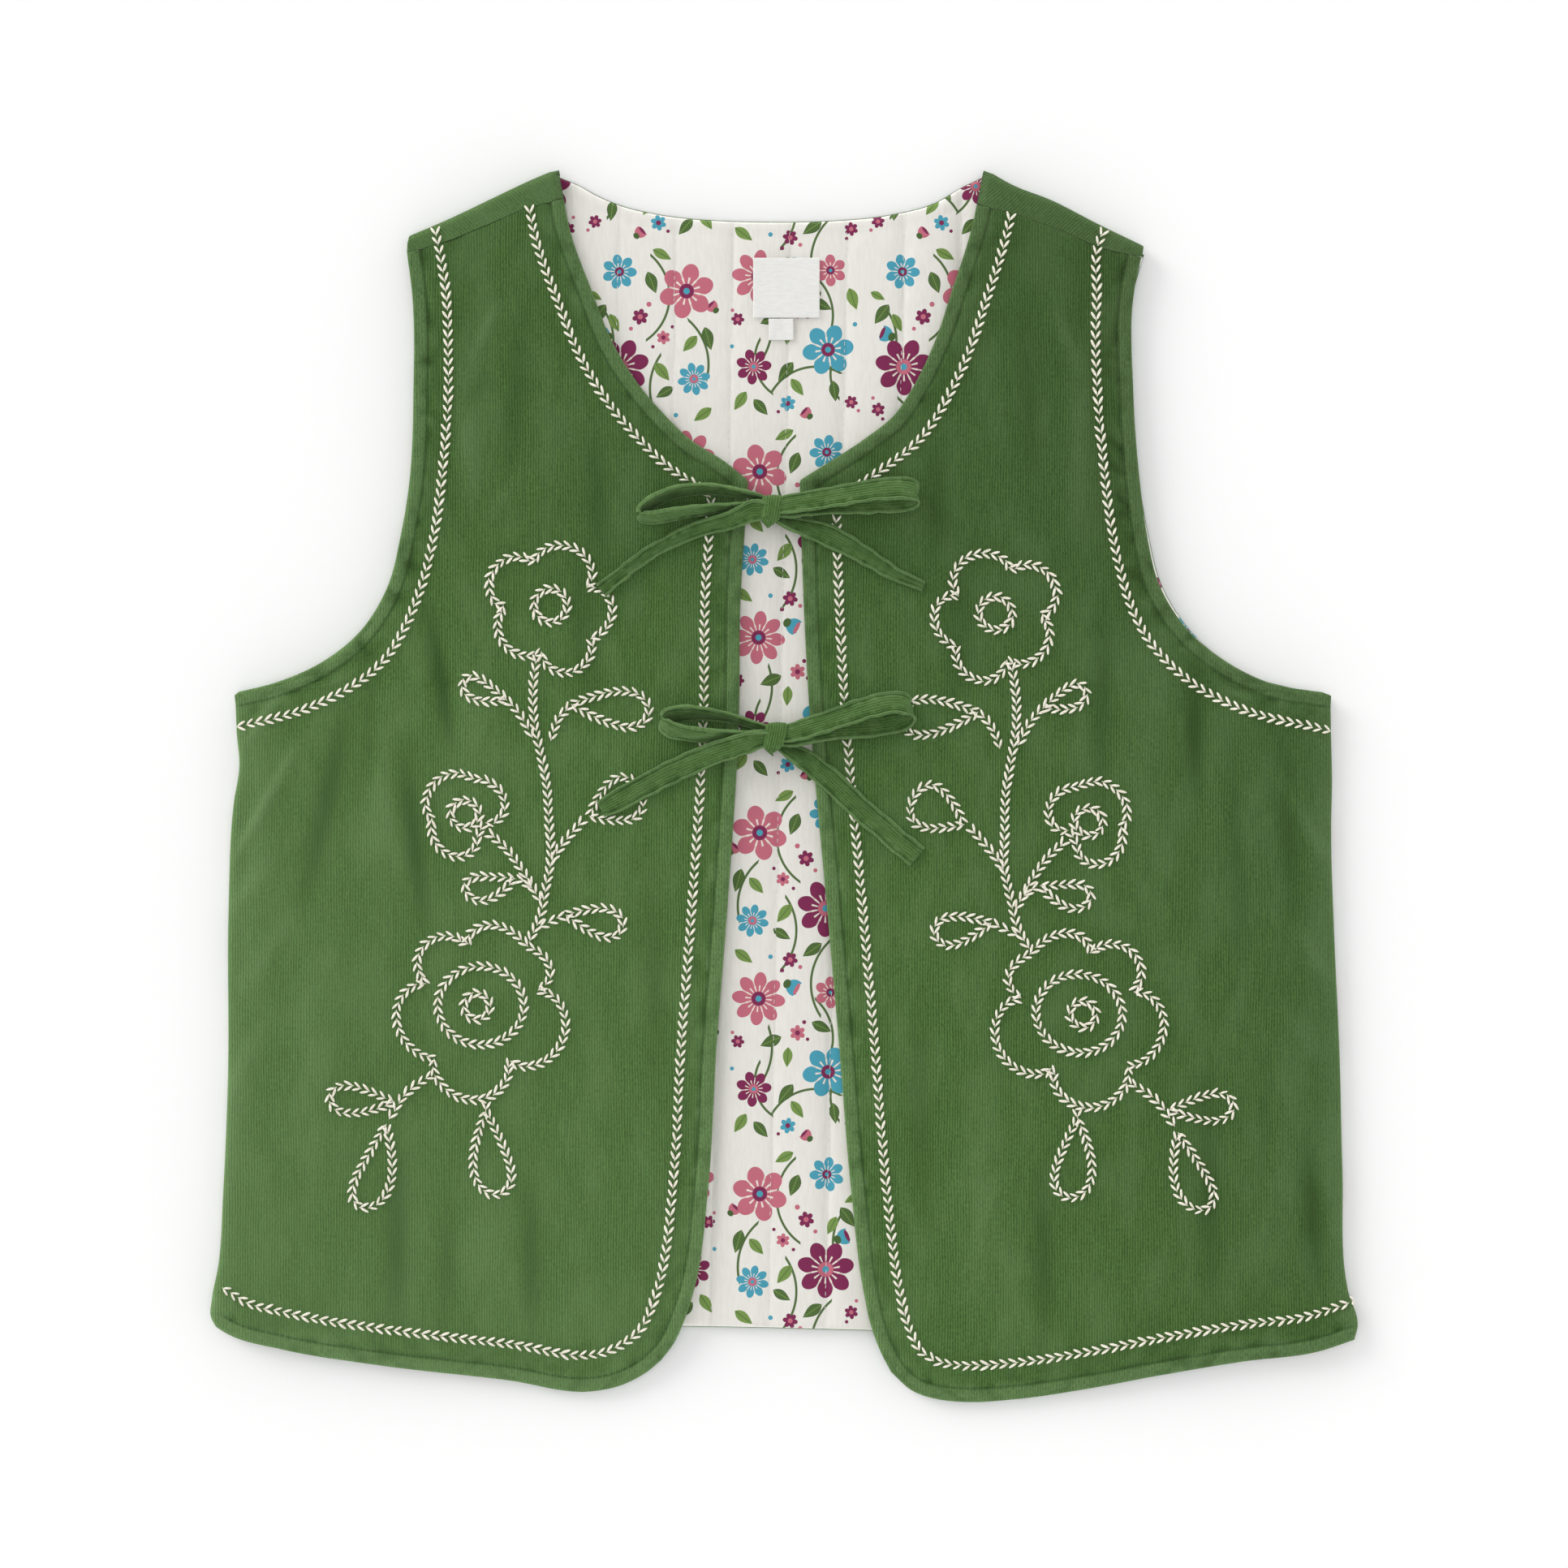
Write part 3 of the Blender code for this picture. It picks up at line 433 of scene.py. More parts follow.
class Panel:
    """A cut panel between two upright edges and a hem and top edge."""

    def __init__(self, outer, inner, hem, top):
        self.outer, self.inner, self.hem, self.top = outer, inner, hem, top

    def width(self, v):
        return np.abs(self.inner.at(v)[..., 0] - self.outer.at(v)[..., 0])

    def length(self):
        return self.outer.last - self.outer.first

    def point(self, u, v):
        """Straight between the upright edges, and bent like the hem and top edge close to them."""
        outer, inner = self.outer.at(v), self.inner.at(v)
        spot = outer + (inner - outer) * u[..., None]
        for edge, fade in ((self.hem, (1 - v) ** BEND_FADE), (self.top, v**BEND_FADE)):
            low, high = edge.at(0.0)[1], edge.at(1.0)[1]
            spot[..., 1] += (edge.at(u)[..., 1] - low - (high - low) * u) * fade
        return spot


class Ripple:
    """Soft seeded unevenness over a plane, from -1 to 1, with its own pitch each way."""

    def __init__(self, seed, pitch_x, pitch_y):
        self.values = np.random.default_rng(seed).uniform(-1, 1, (64, 64))
        self.pitch = (pitch_x, pitch_y)

    def at(self, x, y):
        x, y = np.asarray(x) / self.pitch[0] + 0.37, np.asarray(y) / self.pitch[1] + 0.61
        column, row = np.floor(x).astype(int), np.floor(y).astype(int)
        a, b = ease(x - column), ease(y - row)
        low = self.values[row % 64, column % 64] * (1 - a) + self.values[row % 64, (column + 1) % 64] * a
        high = self.values[(row + 1) % 64, column % 64] * (1 - a)
        high = high + self.values[(row + 1) % 64, (column + 1) % 64] * a
        return low * (1 - b) + high * b


def line_heights(x, y, rows):
    """Heights that a table of folds or creases adds at each place."""
    raised = np.zeros(np.shape(x))
    for x0, y0, x1, y1, half_width, height in rows:
        run_x, run_y = x1 - x0, y1 - y0
        along = ((x - x0) * run_x + (y - y0) * run_y) / (run_x**2 + run_y**2)
        off = np.hypot(x - x0 - run_x * along, y - y0 - run_y * along)
        inside = np.clip(along, 0.0, 1.0)
        raised += height * np.sin(np.pi * inside) * np.exp(-((off / half_width) ** 2))
    return raised


BACK_HEM_EDGE = Edge(0, BACK_HEM)
soft_waves = Ripple(3, 34.0, 70.0)
small_waves = Ripple(5, 7.5, 30.0)


def front_base(x, y):
    """Top of the fronts without their edges: folds, creases, soft waves, and the sag past the back's hem."""
    past_hem = BACK_HEM_EDGE.at(BACK_HEM_EDGE.share(x))[..., 1] - y
    waves = 0.45 * soft_waves.at(x, y) + 0.2 * small_waves.at(x, y)
    height = FRONT_TOP + line_heights(x, y, FRONT_FOLDS) + line_heights(x, y, CREASES) + waves
    return height - CORNER_SAG * ease(past_hem / SAG_LENGTH)


# Meshes

FAR = 100.0
TURNED_IN = 3.0


def link_piece(name, mesh):
    made = bpy.data.objects.new(name, mesh)
    bpy.context.scene.collection.objects.link(made)
    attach(made, "root")
    return made


def faces_touching(present):
    """How many of the faces that are present touch each point of a grid."""
    rows, columns = present.shape
    touched = np.zeros((rows + 1, columns + 1), int)
    for down, right in ((0, 0), (0, 1), (1, 0), (1, 1)):
        touched[down : rows + down, right : columns + right] += present
    return touched


def write_grain(mesh, cloth):
    laid = mesh.attributes.new("grain", "FLOAT_VECTOR", "POINT")
    laid.data.foreach_set("vector", np.asarray(cloth, np.float32).ravel())


def shell(name, top, bottom, grain, looks, present=None, painted_light_shade=None):
    """A closed shell between two grids of points that share their rims.

    Grain is the cloth's own x and y, and its distance from a stitched edge where there is one.
    Its last argument holds painted light and shade: above 0 where light is painted on raised folds, puckers
    and rolled edges, below 0 where shade is painted in creases, troughs and stitch grooves.
    """
    rows, columns = top.shape[:2]
    if present is None:
        present = np.ones((rows - 1, columns - 1), bool)
    touched = faces_touching(present)
    used, inner = touched > 0, touched == 4
    upper = np.full((rows, columns), -1)
    upper[used] = np.arange(used.sum())
    lower = upper.copy()
    lower[inner] = used.sum() + np.arange(inner.sum())
    points = np.vstack([top[used], bottom[inner]])
    cloth = np.vstack([grain[used], grain[inner]])
    row, column = np.nonzero(present)
    corners = [(row, column), (row, column + 1), (row + 1, column + 1), (row + 1, column)]
    above = np.stack([upper[corner] for corner in corners], -1)
    below = np.stack([lower[corner] for corner in corners[::-1]], -1)
    first, second = top[row[0], column[0]], top[row[0], column[0] + 1]
    third = top[row[0] + 1, column[0]]
    away = top[row[0] + 1, column[0] + 1] - bottom[row[0] + 1, column[0] + 1]
    if np.dot(np.cross(second - first, third - first), away) < 0:
        above, below = above[:, ::-1], below[:, ::-1]
    mesh = bpy.data.meshes.new(name)
    mesh.from_pydata(world(points).tolist(), [], np.vstack([above, below]).tolist())
    sides = np.zeros(len(mesh.polygons), int)
    sides[len(above) :] = len(looks) - 1
    if grain.shape[2] == 3:
        sides[len(above) :][grain[row, column, 2] < TURNED_IN] = 0
    mesh.polygons.foreach_set("material_index", sides)
    painted_relief_tone = mesh.attributes.new("painted_light_shade", "FLOAT", "POINT")
    if painted_light_shade is not None:
        painted_relief_tone.data.foreach_set("value", np.concatenate([painted_light_shade[used], painted_light_shade[inner]]).astype(np.float32))
    if cloth.shape[1] == 2:
        cloth = np.column_stack([cloth, np.full(len(cloth), FAR)])
    write_grain(mesh, cloth)
    for look in looks:
        mesh.materials.append(look)
    mesh.shade_smooth()
    return link_piece(name, mesh)


def copies(name, template, places, looks):
    """One mesh from many copies of a template, each at a middle with its own three axes."""
    points, faces = template
    middles, axes = places
    moved = middles[:, None, :] + np.einsum("pk,nkc->npc", points, axes)
    count = len(points)
    every = (np.arange(len(middles)) * count)[:, None, None] + faces[None]
    mesh = bpy.data.meshes.new(name)
    mesh.from_pydata(world(moved.reshape(-1, 3)).tolist(), [], every.reshape(-1, faces.shape[1]).tolist())
    for look in looks:
        mesh.materials.append(look)
    mesh.shade_smooth()
    return link_piece(name, mesh)


def strand(path, radii, sides=6):
    """A thread along a path as points and faces of four corners; its ends are left open."""
    path = np.array(path, float)
    ahead = np.gradient(path, axis=0)
    ahead /= np.linalg.norm(ahead, axis=1)[:, None]
    across = np.cross(ahead, (0.0, 0.0, 1.0))
    across /= np.linalg.norm(across, axis=1)[:, None]
    over = np.cross(across, ahead)
    turns = np.linspace(0, 2 * np.pi, sides, endpoint=False)
    rings = []
    for middle, side, rise, radius in zip(path, across, over, radii):
        rings.append(middle + radius * (np.cos(turns)[:, None] * side + np.sin(turns)[:, None] * rise))
    points = np.vstack(rings)
    faces = []
    for ring in range(len(path) - 1):
        for turn in range(sides):
            low, high = ring * sides + turn, ring * sides + (turn + 1) % sides
            faces.append((low, low + sides, high + sides, high))
    return points, np.array(faces)


def joined(*parts):
    points, faces, start = [], [], 0
    for part_points, part_faces in parts:
        points.append(part_points)
        faces.append(part_faces + start)
        start += len(part_points)
    return np.vstack(points), np.vstack(faces)


# Materials: a shader value that adds its own nodes when it is used in sums

TREE = None


class Field:
    def __init__(self, socket):
        self.socket = socket

    def __add__(self, other):
        return maths("ADD", self, other)

    def __sub__(self, other):
        return maths("SUBTRACT", self, other)

    def __rsub__(self, other):
        return maths("SUBTRACT", other, self)

    def __mul__(self, other):
        return maths("MULTIPLY", self, other)

    def __truediv__(self, other):
        return maths("DIVIDE", self, other)

    __radd__ = __add__
    __rmul__ = __mul__


def feed(socket, value):
    if isinstance(value, Field):
        TREE.links.new(value.socket, socket)
    else:
        socket.default_value = value


def maths(kind, *values, clamp=False):
    node = TREE.nodes.new("ShaderNodeMath")
    node.operation = kind
    node.use_clamp = clamp
    for socket, value in zip(node.inputs, values):
        feed(socket, value)
    return Field(node.outputs[0])


def step_between(value, low, high):
    """0 at low and 1 at high, softly; low may be the higher number."""
    node = TREE.nodes.new("ShaderNodeMapRange")
    node.interpolation_type = "SMOOTHSTEP"
    for socket, number in zip(node.inputs[:5], (value, low, high, 0.0, 1.0)):
        feed(socket, number)
    return Field(node.outputs[0])


def mixed(share, first, second):
    node = TREE.nodes.new("ShaderNodeMix")
    node.data_type = "RGBA"
    feed(node.inputs[0], share)
    feed(node.inputs[6], first)
    feed(node.inputs[7], second)
    return Field(node.outputs[2])


def noise(x, y, scale_x, scale_y, detail=2.0):
    joined_up = TREE.nodes.new("ShaderNodeCombineXYZ")
    feed(joined_up.inputs[0], x * scale_x)
    feed(joined_up.inputs[1], y * scale_y)
    node = TREE.nodes.new("ShaderNodeTexNoise")
    node.inputs["Scale"].default_value = 1.0
    node.inputs["Detail"].default_value = detail
    TREE.links.new(joined_up.outputs[0], node.inputs["Vector"])
    return Field(node.outputs[0])


def new_material(name, roughness, sheen=0.0, sheen_tint=(1, 1, 1, 1)):
    global TREE
    made = bpy.data.materials.new(name)
    made.use_nodes = True
    TREE = made.node_tree
    shader = TREE.nodes["Principled BSDF"]
    shader.inputs["Roughness"].default_value = roughness
    shader.inputs["Sheen Weight"].default_value = sheen
    shader.inputs["Sheen Roughness"].default_value = 0.45
    shader.inputs["Sheen Tint"].default_value = sheen_tint
    shader.inputs["Specular IOR Level"].default_value = 0.25
    return made, shader


def cloth_place():
    """The cloth's own x and y and its distance from a stitched edge, in millimetres."""
    attribute = TREE.nodes.new("ShaderNodeAttribute")
    attribute.attribute_name = "grain"
    parted = TREE.nodes.new("ShaderNodeSeparateXYZ")
    TREE.links.new(attribute.outputs["Vector"], parted.inputs[0])
    return [Field(socket) for socket in parted.outputs]


def bump(shader, height, strength=1.0):
    """Height in millimetres, seen as real relief."""
    node = TREE.nodes.new("ShaderNodeBump")
    node.inputs["Strength"].default_value = strength
    node.inputs["Distance"].default_value = MM
    feed(node.inputs["Height"], height)
    TREE.links.new(node.outputs[0], shader.inputs["Normal"])


WALE_PITCH = 1.25


def needlecord(name, ridge, groove, light, stitch_inset, shaded=True):
    """Fine-wale cord: rounded wales with dark grooves between, flecks along them and a soft brushed nap."""
    made, shader = new_material(name, 0.95, 0.1, (0.78, 0.95, 0.62, 1.0))
    x, y, edge = cloth_place()
    # The relief tone holds painted light and shade that follow the relief: above 0 on ridges and puckers,
    # below 0 in creases and troughs
    painted_relief_tone = TREE.nodes.new("ShaderNodeAttribute")
    painted_relief_tone.attribute_name = "painted_light_shade"
    painted_relief_tone = Field(painted_relief_tone.outputs["Fac"])
    wobble = (noise(x, y, 0.05, 0.02) - 0.5) * 2.4 + (noise(x, y, 0.5, 0.12) - 0.5) * 0.55
    wale = maths("SINE", (x + wobble) * (2 * math.pi / WALE_PITCH)) * 0.5 + 0.5
    streak = noise(x, y, 0.8, 0.09, 3.0)
    fleck = noise(x, y, 1.7, 0.62, 2.0)
    patch = noise(x, y, 0.06, 0.026, 3.0)
    shade = wale * 0.62 + (streak - 0.5) * 0.75 + (fleck - 0.5) * 1.5 + 0.2
    colour = mixed(maths("MULTIPLY", shade, 1.0, clamp=True), groove, ridge)
    # Painted highlight: the strip between a cut edge and its stitching is painted lighter, as a puffed edge
    # that catches the light
    painted_edge_highlight = step_between(edge, stitch_inset, stitch_inset * 0.8) * (fleck * 1.2 - 0.1)
    # Nap patches that differ at random, and painted light where the relief tone is above 0
    soft = step_between(patch, 0.42, 0.66) * 0.2 + (fleck * 0.7 + 0.1) * maths("MAXIMUM", painted_relief_tone, 0.0)
    colour = mixed(maths("MAXIMUM", soft, painted_edge_highlight, clamp=True), colour, light)
    # Painted shade: darker along the sunk stitch line, and where the relief tone is below 0, in creases and
    # troughs
    sunk = step_between(maths("ABSOLUTE", edge - stitch_inset), stitch_inset * 0.14, 0.0)
    sunk = sunk * (fleck + 0.1) * 0.5 + maths("MAXIMUM", painted_relief_tone * -0.6, 0.0)
    colour = mixed(maths("MINIMUM", sunk, 0.75), colour, groove)
    # Painted light and shade: the cord is painted lighter to the left and lower down, and darker to the
    # right and towards the top, as light falls across the garment
    if shaded:
        aside = x * -0.0004 - maths("MAXIMUM", x, 0.0) * 0.0005
        tone = aside - (y + 50.0) * 0.0003 - step_between(y, 10.0, 140.0) * 0.12 + 1.0
        deep = maths("SUBTRACT", 1.0, tone, clamp=True)
        pale = maths("SUBTRACT", tone, 1.0, clamp=True)
        colour = mixed(deep, colour, (0.0, 0.0, 0.0, 1.0))
        colour = mixed(pale * 1.6, colour, light)
    feed(shader.inputs["Base Color"], colour)
    bump(shader, wale * 0.2 + (fleck - 0.5) * 0.3 + (streak - 0.5) * 0.14, 0.9)
    return made


def thread(name, colour, dark, twist=0.0, roughness=0.75):
    """Spun yarn or sewing thread with a slight unevenness."""
    made, shader = new_material(name, roughness, 0.15)
    place = TREE.nodes.new("ShaderNodeTexCoord")
    uneven = TREE.nodes.new("ShaderNodeTexNoise")
    uneven.inputs["Scale"].default_value = 900.0
    uneven.inputs["Detail"].default_value = 2.0
    TREE.links.new(place.outputs["Object"], uneven.inputs["Vector"])
    value = Field(uneven.outputs[0])
    feed(shader.inputs["Base Color"], mixed(step_between(value, 0.35, 0.62), dark, colour))
    if twist:
        bump(shader, value * twist)
    return made


def woven_tape(name):
    made, shader = new_material(name, 0.55, 0.1)
    x, y, _ = cloth_place()
    warp = maths("SINE", x * (2 * math.pi / 0.32))
    weft = maths("SINE", y * (2 * math.pi / 0.38))
    uneven = noise(x, y, 0.25, 0.9, 3.0)
    colour = mixed(step_between(uneven, 0.3, 0.7), (0.79, 0.785, 0.755, 1.0), (0.84, 0.835, 0.81, 1.0))
    feed(shader.inputs["Base Color"], colour)
    bump(shader, warp * weft * 0.03 + (uneven - 0.5) * 0.08)
    return made


def printed_cotton(name):
    """Off-white cotton; its small floral print is drawn by formulas in a half-drop repeat."""
    made, shader = new_material(name, 0.85, 0.08)
    x, y, _ = cloth_place()
    weave = maths("SINE", x * (2 * math.pi / 0.45)) * maths("SINE", y * (2 * math.pi / 0.45))
    slub = noise(x, y, 0.7, 0.12, 2.0)
    ground = mixed(step_between(slub, 0.3, 0.7), (0.765, 0.745, 0.69, 1.0), (0.80, 0.785, 0.735, 1.0))
    colour = floral_print(x * PRINT_SCALE, y * PRINT_SCALE, ground)
    feed(shader.inputs["Base Color"], colour)
    bump(shader, weave * 0.02 + (slub - 0.5) * 0.06)
    return made


PINK = (0.52, 0.140, 0.195, 1.0)
PLUM = (0.200, 0.020, 0.080, 1.0)
BLUE = (0.065, 0.330, 0.445, 1.0)
LEAF = (0.062, 0.118, 0.032, 1.0)
LEAF_LIGHT = (0.185, 0.300, 0.072, 1.0)
STEM = (0.085, 0.145, 0.045, 1.0)

PRINT_SCALE = 0.88
TILE_WIDTH = 58.0
TILE_HEIGHT = 148.0
# Print: open flowers (x, y, radius, petals, turn, petal colour, centre colour)
FLOWERHEADS = [
    (15.0, 128.0, 11.4, 6, 0.3, PINK, PLUM),
    (42.0, 97.0, 11.8, 7, 0.7, PLUM, PINK),
    (14.5, 60.0, 11.0, 8, 0.1, PINK, PLUM),
    (43.0, 30.0, 10.6, 6, 0.9, BLUE, PLUM),
    (42.5, 136.0, 7.2, 7, 0.4, BLUE, PLUM),
    (12.0, 92.0, 6.8, 8, 0.2, BLUE, PINK),
    (44.0, 62.5, 6.6, 6, 0.5, PINK, PLUM),
    (12.5, 23.0, 7.4, 7, 0.8, PLUM, PINK),
    (34.0, 117.5, 3.4, 6, 0.3, PLUM, PINK),
    (24.5, 109.0, 2.9, 6, 0.6, PINK, PLUM),
    (27.5, 76.0, 3.2, 6, 0.2, PLUM, PINK),
    (30.5, 46.0, 3.3, 6, 0.5, PINK, PLUM),
    (6.0, 42.5, 2.8, 6, 0.1, PLUM, PINK),
    (52.5, 79.5, 2.9, 6, 0.4, PLUM, PINK),
    (26.5, 8.0, 3.3, 6, 0.7, BLUE, PLUM),
    (52.5, 8.5, 2.8, 6, 0.2, PLUM, PINK),
]
# Print: leaves (x and y of the middle, half length, half width, turn, colour)
PRINT_LEAVES = [
    (29.2, 131.5, 4.8, 2.4, 1.2, LEAF),
    (25.0, 143.0, 4.4, 2.0, 0.5, LEAF_LIGHT),
    (51.0, 118.5, 5.0, 2.5, 2.2, LEAF),
    (44.6, 115.0, 4.2, 2.0, 1.1, LEAF_LIGHT),
    (6.2, 108.5, 5.0, 2.4, 1.3, LEAF),
    (13.6, 106.4, 4.4, 2.1, 2.3, LEAF_LIGHT),
    (25.0, 95.0, 4.8, 2.3, 0.9, LEAF_LIGHT),
    (24.0, 86.5, 4.2, 2.0, 2.6, LEAF),
    (36.5, 80.0, 4.8, 2.3, 0.6, LEAF),
    (8.4, 77.4, 4.6, 2.1, 2.5, LEAF_LIGHT),
    (53.2, 50.8, 4.8, 2.3, 1.9, LEAF_LIGHT),
    (40.4, 48.4, 4.6, 2.2, 2.7, LEAF),
    (19.5, 42.5, 4.8, 2.4, 0.4, LEAF),
    (26.4, 36.0, 4.2, 2.0, 1.5, LEAF_LIGHT),
    (25.6, 21.0, 5.0, 2.4, 0.9, LEAF),
    (30.4, 14.6, 4.4, 2.0, 2.2, LEAF_LIGHT),
    (7.0, 9.0, 4.6, 2.2, 1.0, LEAF_LIGHT),
    (15.4, 6.4, 4.4, 2.1, 2.3, LEAF),
    (45.6, 13.0, 4.4, 2.1, 1.7, LEAF),
    (52.6, 126.0, 3.4, 1.6, 0.5, LEAF_LIGHT),
]
# Print: stems as arcs (middle x and y, radius, first and last angle in degrees)
PRINT_STEMS = [
    (44.0, 126.0, 22.0, 130, 236),
    (30.0, 98.0, 24.0, 130, 196),
    (66.0, 108.0, 21.0, 140, 202),
    (6.0, 88.0, 24.0, -44, 36),
    (60.0, 66.0, 24.0, 130, 214),
    (24.0, 44.0, 21.0, -28, 50),
    (-6.0, 40.0, 26.0, -50, 20),
    (38.0, 2.0, 21.0, 60, 150),
    (30.0, 26.0, 17.0, 150, 236),
    (60.0, 20.0, 16.0, 130, 220),
]
# Print: cup-shaped flowers (x, y, radius, turn, colour, colour inside)
PRINT_CUPS = [
    (50.0, 110.6, 3.6, 0.4, BLUE, PLUM),
    (29.4, 64.4, 3.8, -0.5, BLUE, PINK),
    (4.8, 122.0, 2.8, 0.8, PINK, PLUM),
    (33.6, 4.4, 2.8, 2.4, PINK, PLUM),
]
# Print: buds and dots (x, y, radius, colour)
PRINT_DOTS = [
    (30.4, 122.6, 1.1, PINK), (37.8, 112.6, 0.9, PINK), (20.8, 113.4, 0.8, PLUM), (28.8, 105.2, 0.8, PLUM),
    (31.6, 73.0, 0.9, PINK), (24.2, 71.6, 0.9, PLUM), (34.6, 43.4, 0.8, PLUM), (33.2, 50.4, 0.9, PLUM),
    (3.8, 46.2, 0.8, PINK), (54.6, 84.2, 0.8, PINK), (50.6, 75.6, 0.8, PLUM), (22.6, 4.6, 0.8, PLUM),
    (55.4, 5.0, 0.8, PINK), (19.4, 77.2, 1.0, BLUE), (54.0, 40.4, 1.0, BLUE), (3.6, 31.4, 0.9, BLUE),
]
CREAM = (0.80, 0.72, 0.64, 1.0)


def repeated(x, y, motif_x, motif_y):
    """Distances across and up from the nearest copy of a motif above or below."""
    up = TREE.nodes.new("ShaderNodeMath")
    up.operation = "WRAP"
    feed(up.inputs[0], y - motif_y)
    up.inputs[1].default_value = TILE_HEIGHT / 2
    up.inputs[2].default_value = -TILE_HEIGHT / 2
    return x - motif_x, Field(up.outputs[0])


def turned(across_motif, up_motif, turn):
    """The same distances along and across a motif turned by an angle."""
    cosine, sine = math.cos(turn), math.sin(turn)
    return across_motif * cosine + up_motif * sine, up_motif * cosine - across_motif * sine


def length_of(across_motif, up_motif):
    return maths("SQRT", across_motif * across_motif + up_motif * up_motif)


def floral_print(x, y, ground):
    """Flowers, leaves, stems and dots in columns that are mirrored and dropped by half in turn."""
    column = maths("FLOOR", x / TILE_WIDTH + 0.43)
    odd = maths("MODULO", maths("ABSOLUTE", column), 2.0)
    inside = x - (column - 0.43) * TILE_WIDTH
    tile_x = inside + odd * (TILE_WIDTH - inside * 2.0)
    tile_y = y + odd * (TILE_HEIGHT / 2)
    soft = 0.14
    colour = ground
    for middle_x, middle_y, radius, first, last in PRINT_STEMS:
        aside, up = repeated(tile_x, tile_y, middle_x, middle_y)
        line = step_between(maths("ABSOLUTE", length_of(aside, up) - radius), 0.56, 0.42)
        facing = math.radians(first + last) / 2
        ahead, _ = turned(aside, up, facing)
        within = maths("GREATER_THAN", ahead, radius * math.cos(math.radians(last - first) / 2))
        colour = mixed(line * within, colour, STEM)
    for middle_x, middle_y, half_length, half_width, turn, tint in PRINT_LEAVES:
        along, off = turned(*repeated(tile_x, tile_y, middle_x, middle_y), turn)
        along = maths("MINIMUM", maths("MAXIMUM", along / half_length, -1.0), 1.0)
        off = maths("ABSOLUTE", off)
        edge = (1.0 - along * along) * (1.0 + along * 0.35) * half_width - off
        other = LEAF_LIGHT if tint == LEAF else LEAF
        colour = mixed(step_between(edge, 0.0, soft), colour, tint)
        veins = maths("SINE", (along * half_length + off) * 5.2)
        vein = maths("MAXIMUM", step_between(off, 0.24, 0.16), step_between(veins, 0.80, 0.95))
        colour = mixed(vein * step_between(edge, 0.3, 0.5) * 0.75, colour, other)
    for middle_x, middle_y, radius, turn, tint, inner in PRINT_CUPS:
        along, off = turned(*repeated(tile_x, tile_y, middle_x, middle_y), turn)
        rim = maths("SINE", off * (9.4 / radius)) * (0.1 * radius) + 0.35 * radius
        bowl = step_between(length_of(along, off * 1.1), radius, radius - soft)
        cup = bowl * step_between(rim - along, 0.0, soft)
        colour = mixed(cup, colour, tint)
        mouth = length_of((along - 0.22 * radius) * 3.2, off)
        colour = mixed(step_between(mouth, 0.72 * radius, 0.72 * radius - soft), colour, inner)
        sepal = length_of(along + 0.95 * radius, off * 0.8)
        colour = mixed(step_between(sepal, 0.42 * radius, 0.42 * radius - soft), colour, LEAF)
    for middle_x, middle_y, radius, petals, turn, tint, centre in FLOWERHEADS:
        aside, up = repeated(tile_x, tile_y, middle_x, middle_y)
        distance = length_of(aside, up)
        angle = maths("ARCTAN2", up, aside) * petals + turn * petals
        wave = maths("COSINE", angle) * 0.5 + 0.5
        lobe = maths("POWER", wave, 0.4) * (0.4 * radius) + 0.6 * radius
        flower = step_between(lobe - distance, 0.0, soft)
        colour = mixed(flower, colour, tint)
        if radius > 5:
            between = step_between(wave, 0.035, 0.01) * step_between(distance, radius * 0.42, radius * 0.5)
            colour = mixed(between * flower * 0.8, colour, CREAM)
            streaks = step_between(maths("COSINE", angle * 2.0), 0.35, 0.8)
            band = step_between(distance, radius * 0.26, radius * 0.3)
            band = band * step_between(distance, radius * 0.52, radius * 0.47)
            colour = mixed(streaks * band, colour, CREAM)
            colour = mixed(step_between(distance, radius * 0.27, radius * 0.27 - soft), colour, centre)
            colour = mixed(step_between(distance, radius * 0.12, radius * 0.12 - soft), colour, BLUE)
        else:
            colour = mixed(step_between(distance, radius * 0.33, radius * 0.33 - soft), colour, centre)
    for middle_x, middle_y, radius, tint in PRINT_DOTS:
        distance = length_of(*repeated(tile_x, tile_y, middle_x, middle_y))
        colour = mixed(step_between(distance, radius, radius - soft), colour, tint)
    return colour


# Cord and tie colours; the paler greens serve both nap patches that differ at random and painted light on
# edge strips, folds, ridges and the lit left of the fronts
GROOVE = (0.034, 0.080, 0.016, 1.0)
CORD_RIDGE = (0.096, 0.200, 0.050, 1.0)
CORD_NAP_AND_PAINTED_LIGHT = (0.146, 0.245, 0.098, 1.0)
TIE_RIDGE = (0.090, 0.184, 0.048, 1.0)
TIE_NAP_AND_PAINTED_LIGHT = (0.130, 0.222, 0.084, 1.0)
cord_look = needlecord("needlecord", CORD_RIDGE, GROOVE, CORD_NAP_AND_PAINTED_LIGHT, STITCH_INSET)
tie_look = needlecord("tie_cord", TIE_RIDGE, GROOVE, TIE_NAP_AND_PAINTED_LIGHT, TIE_STITCH_INSET, shaded=False)
print_look = printed_cotton("printed_cotton")
tape_look = woven_tape("woven_white")
yarn_look = thread("embroidery_yarn", (0.87, 0.84, 0.73, 1.0), (0.72, 0.67, 0.55, 1.0), 0.12)
green_thread = thread("green_thread", (0.062, 0.120, 0.042, 1.0), (0.040, 0.080, 0.028, 1.0))
white_thread = thread("quilting_thread", (0.82, 0.81, 0.78, 1.0), (0.70, 0.68, 0.64, 1.0))


# Fronts

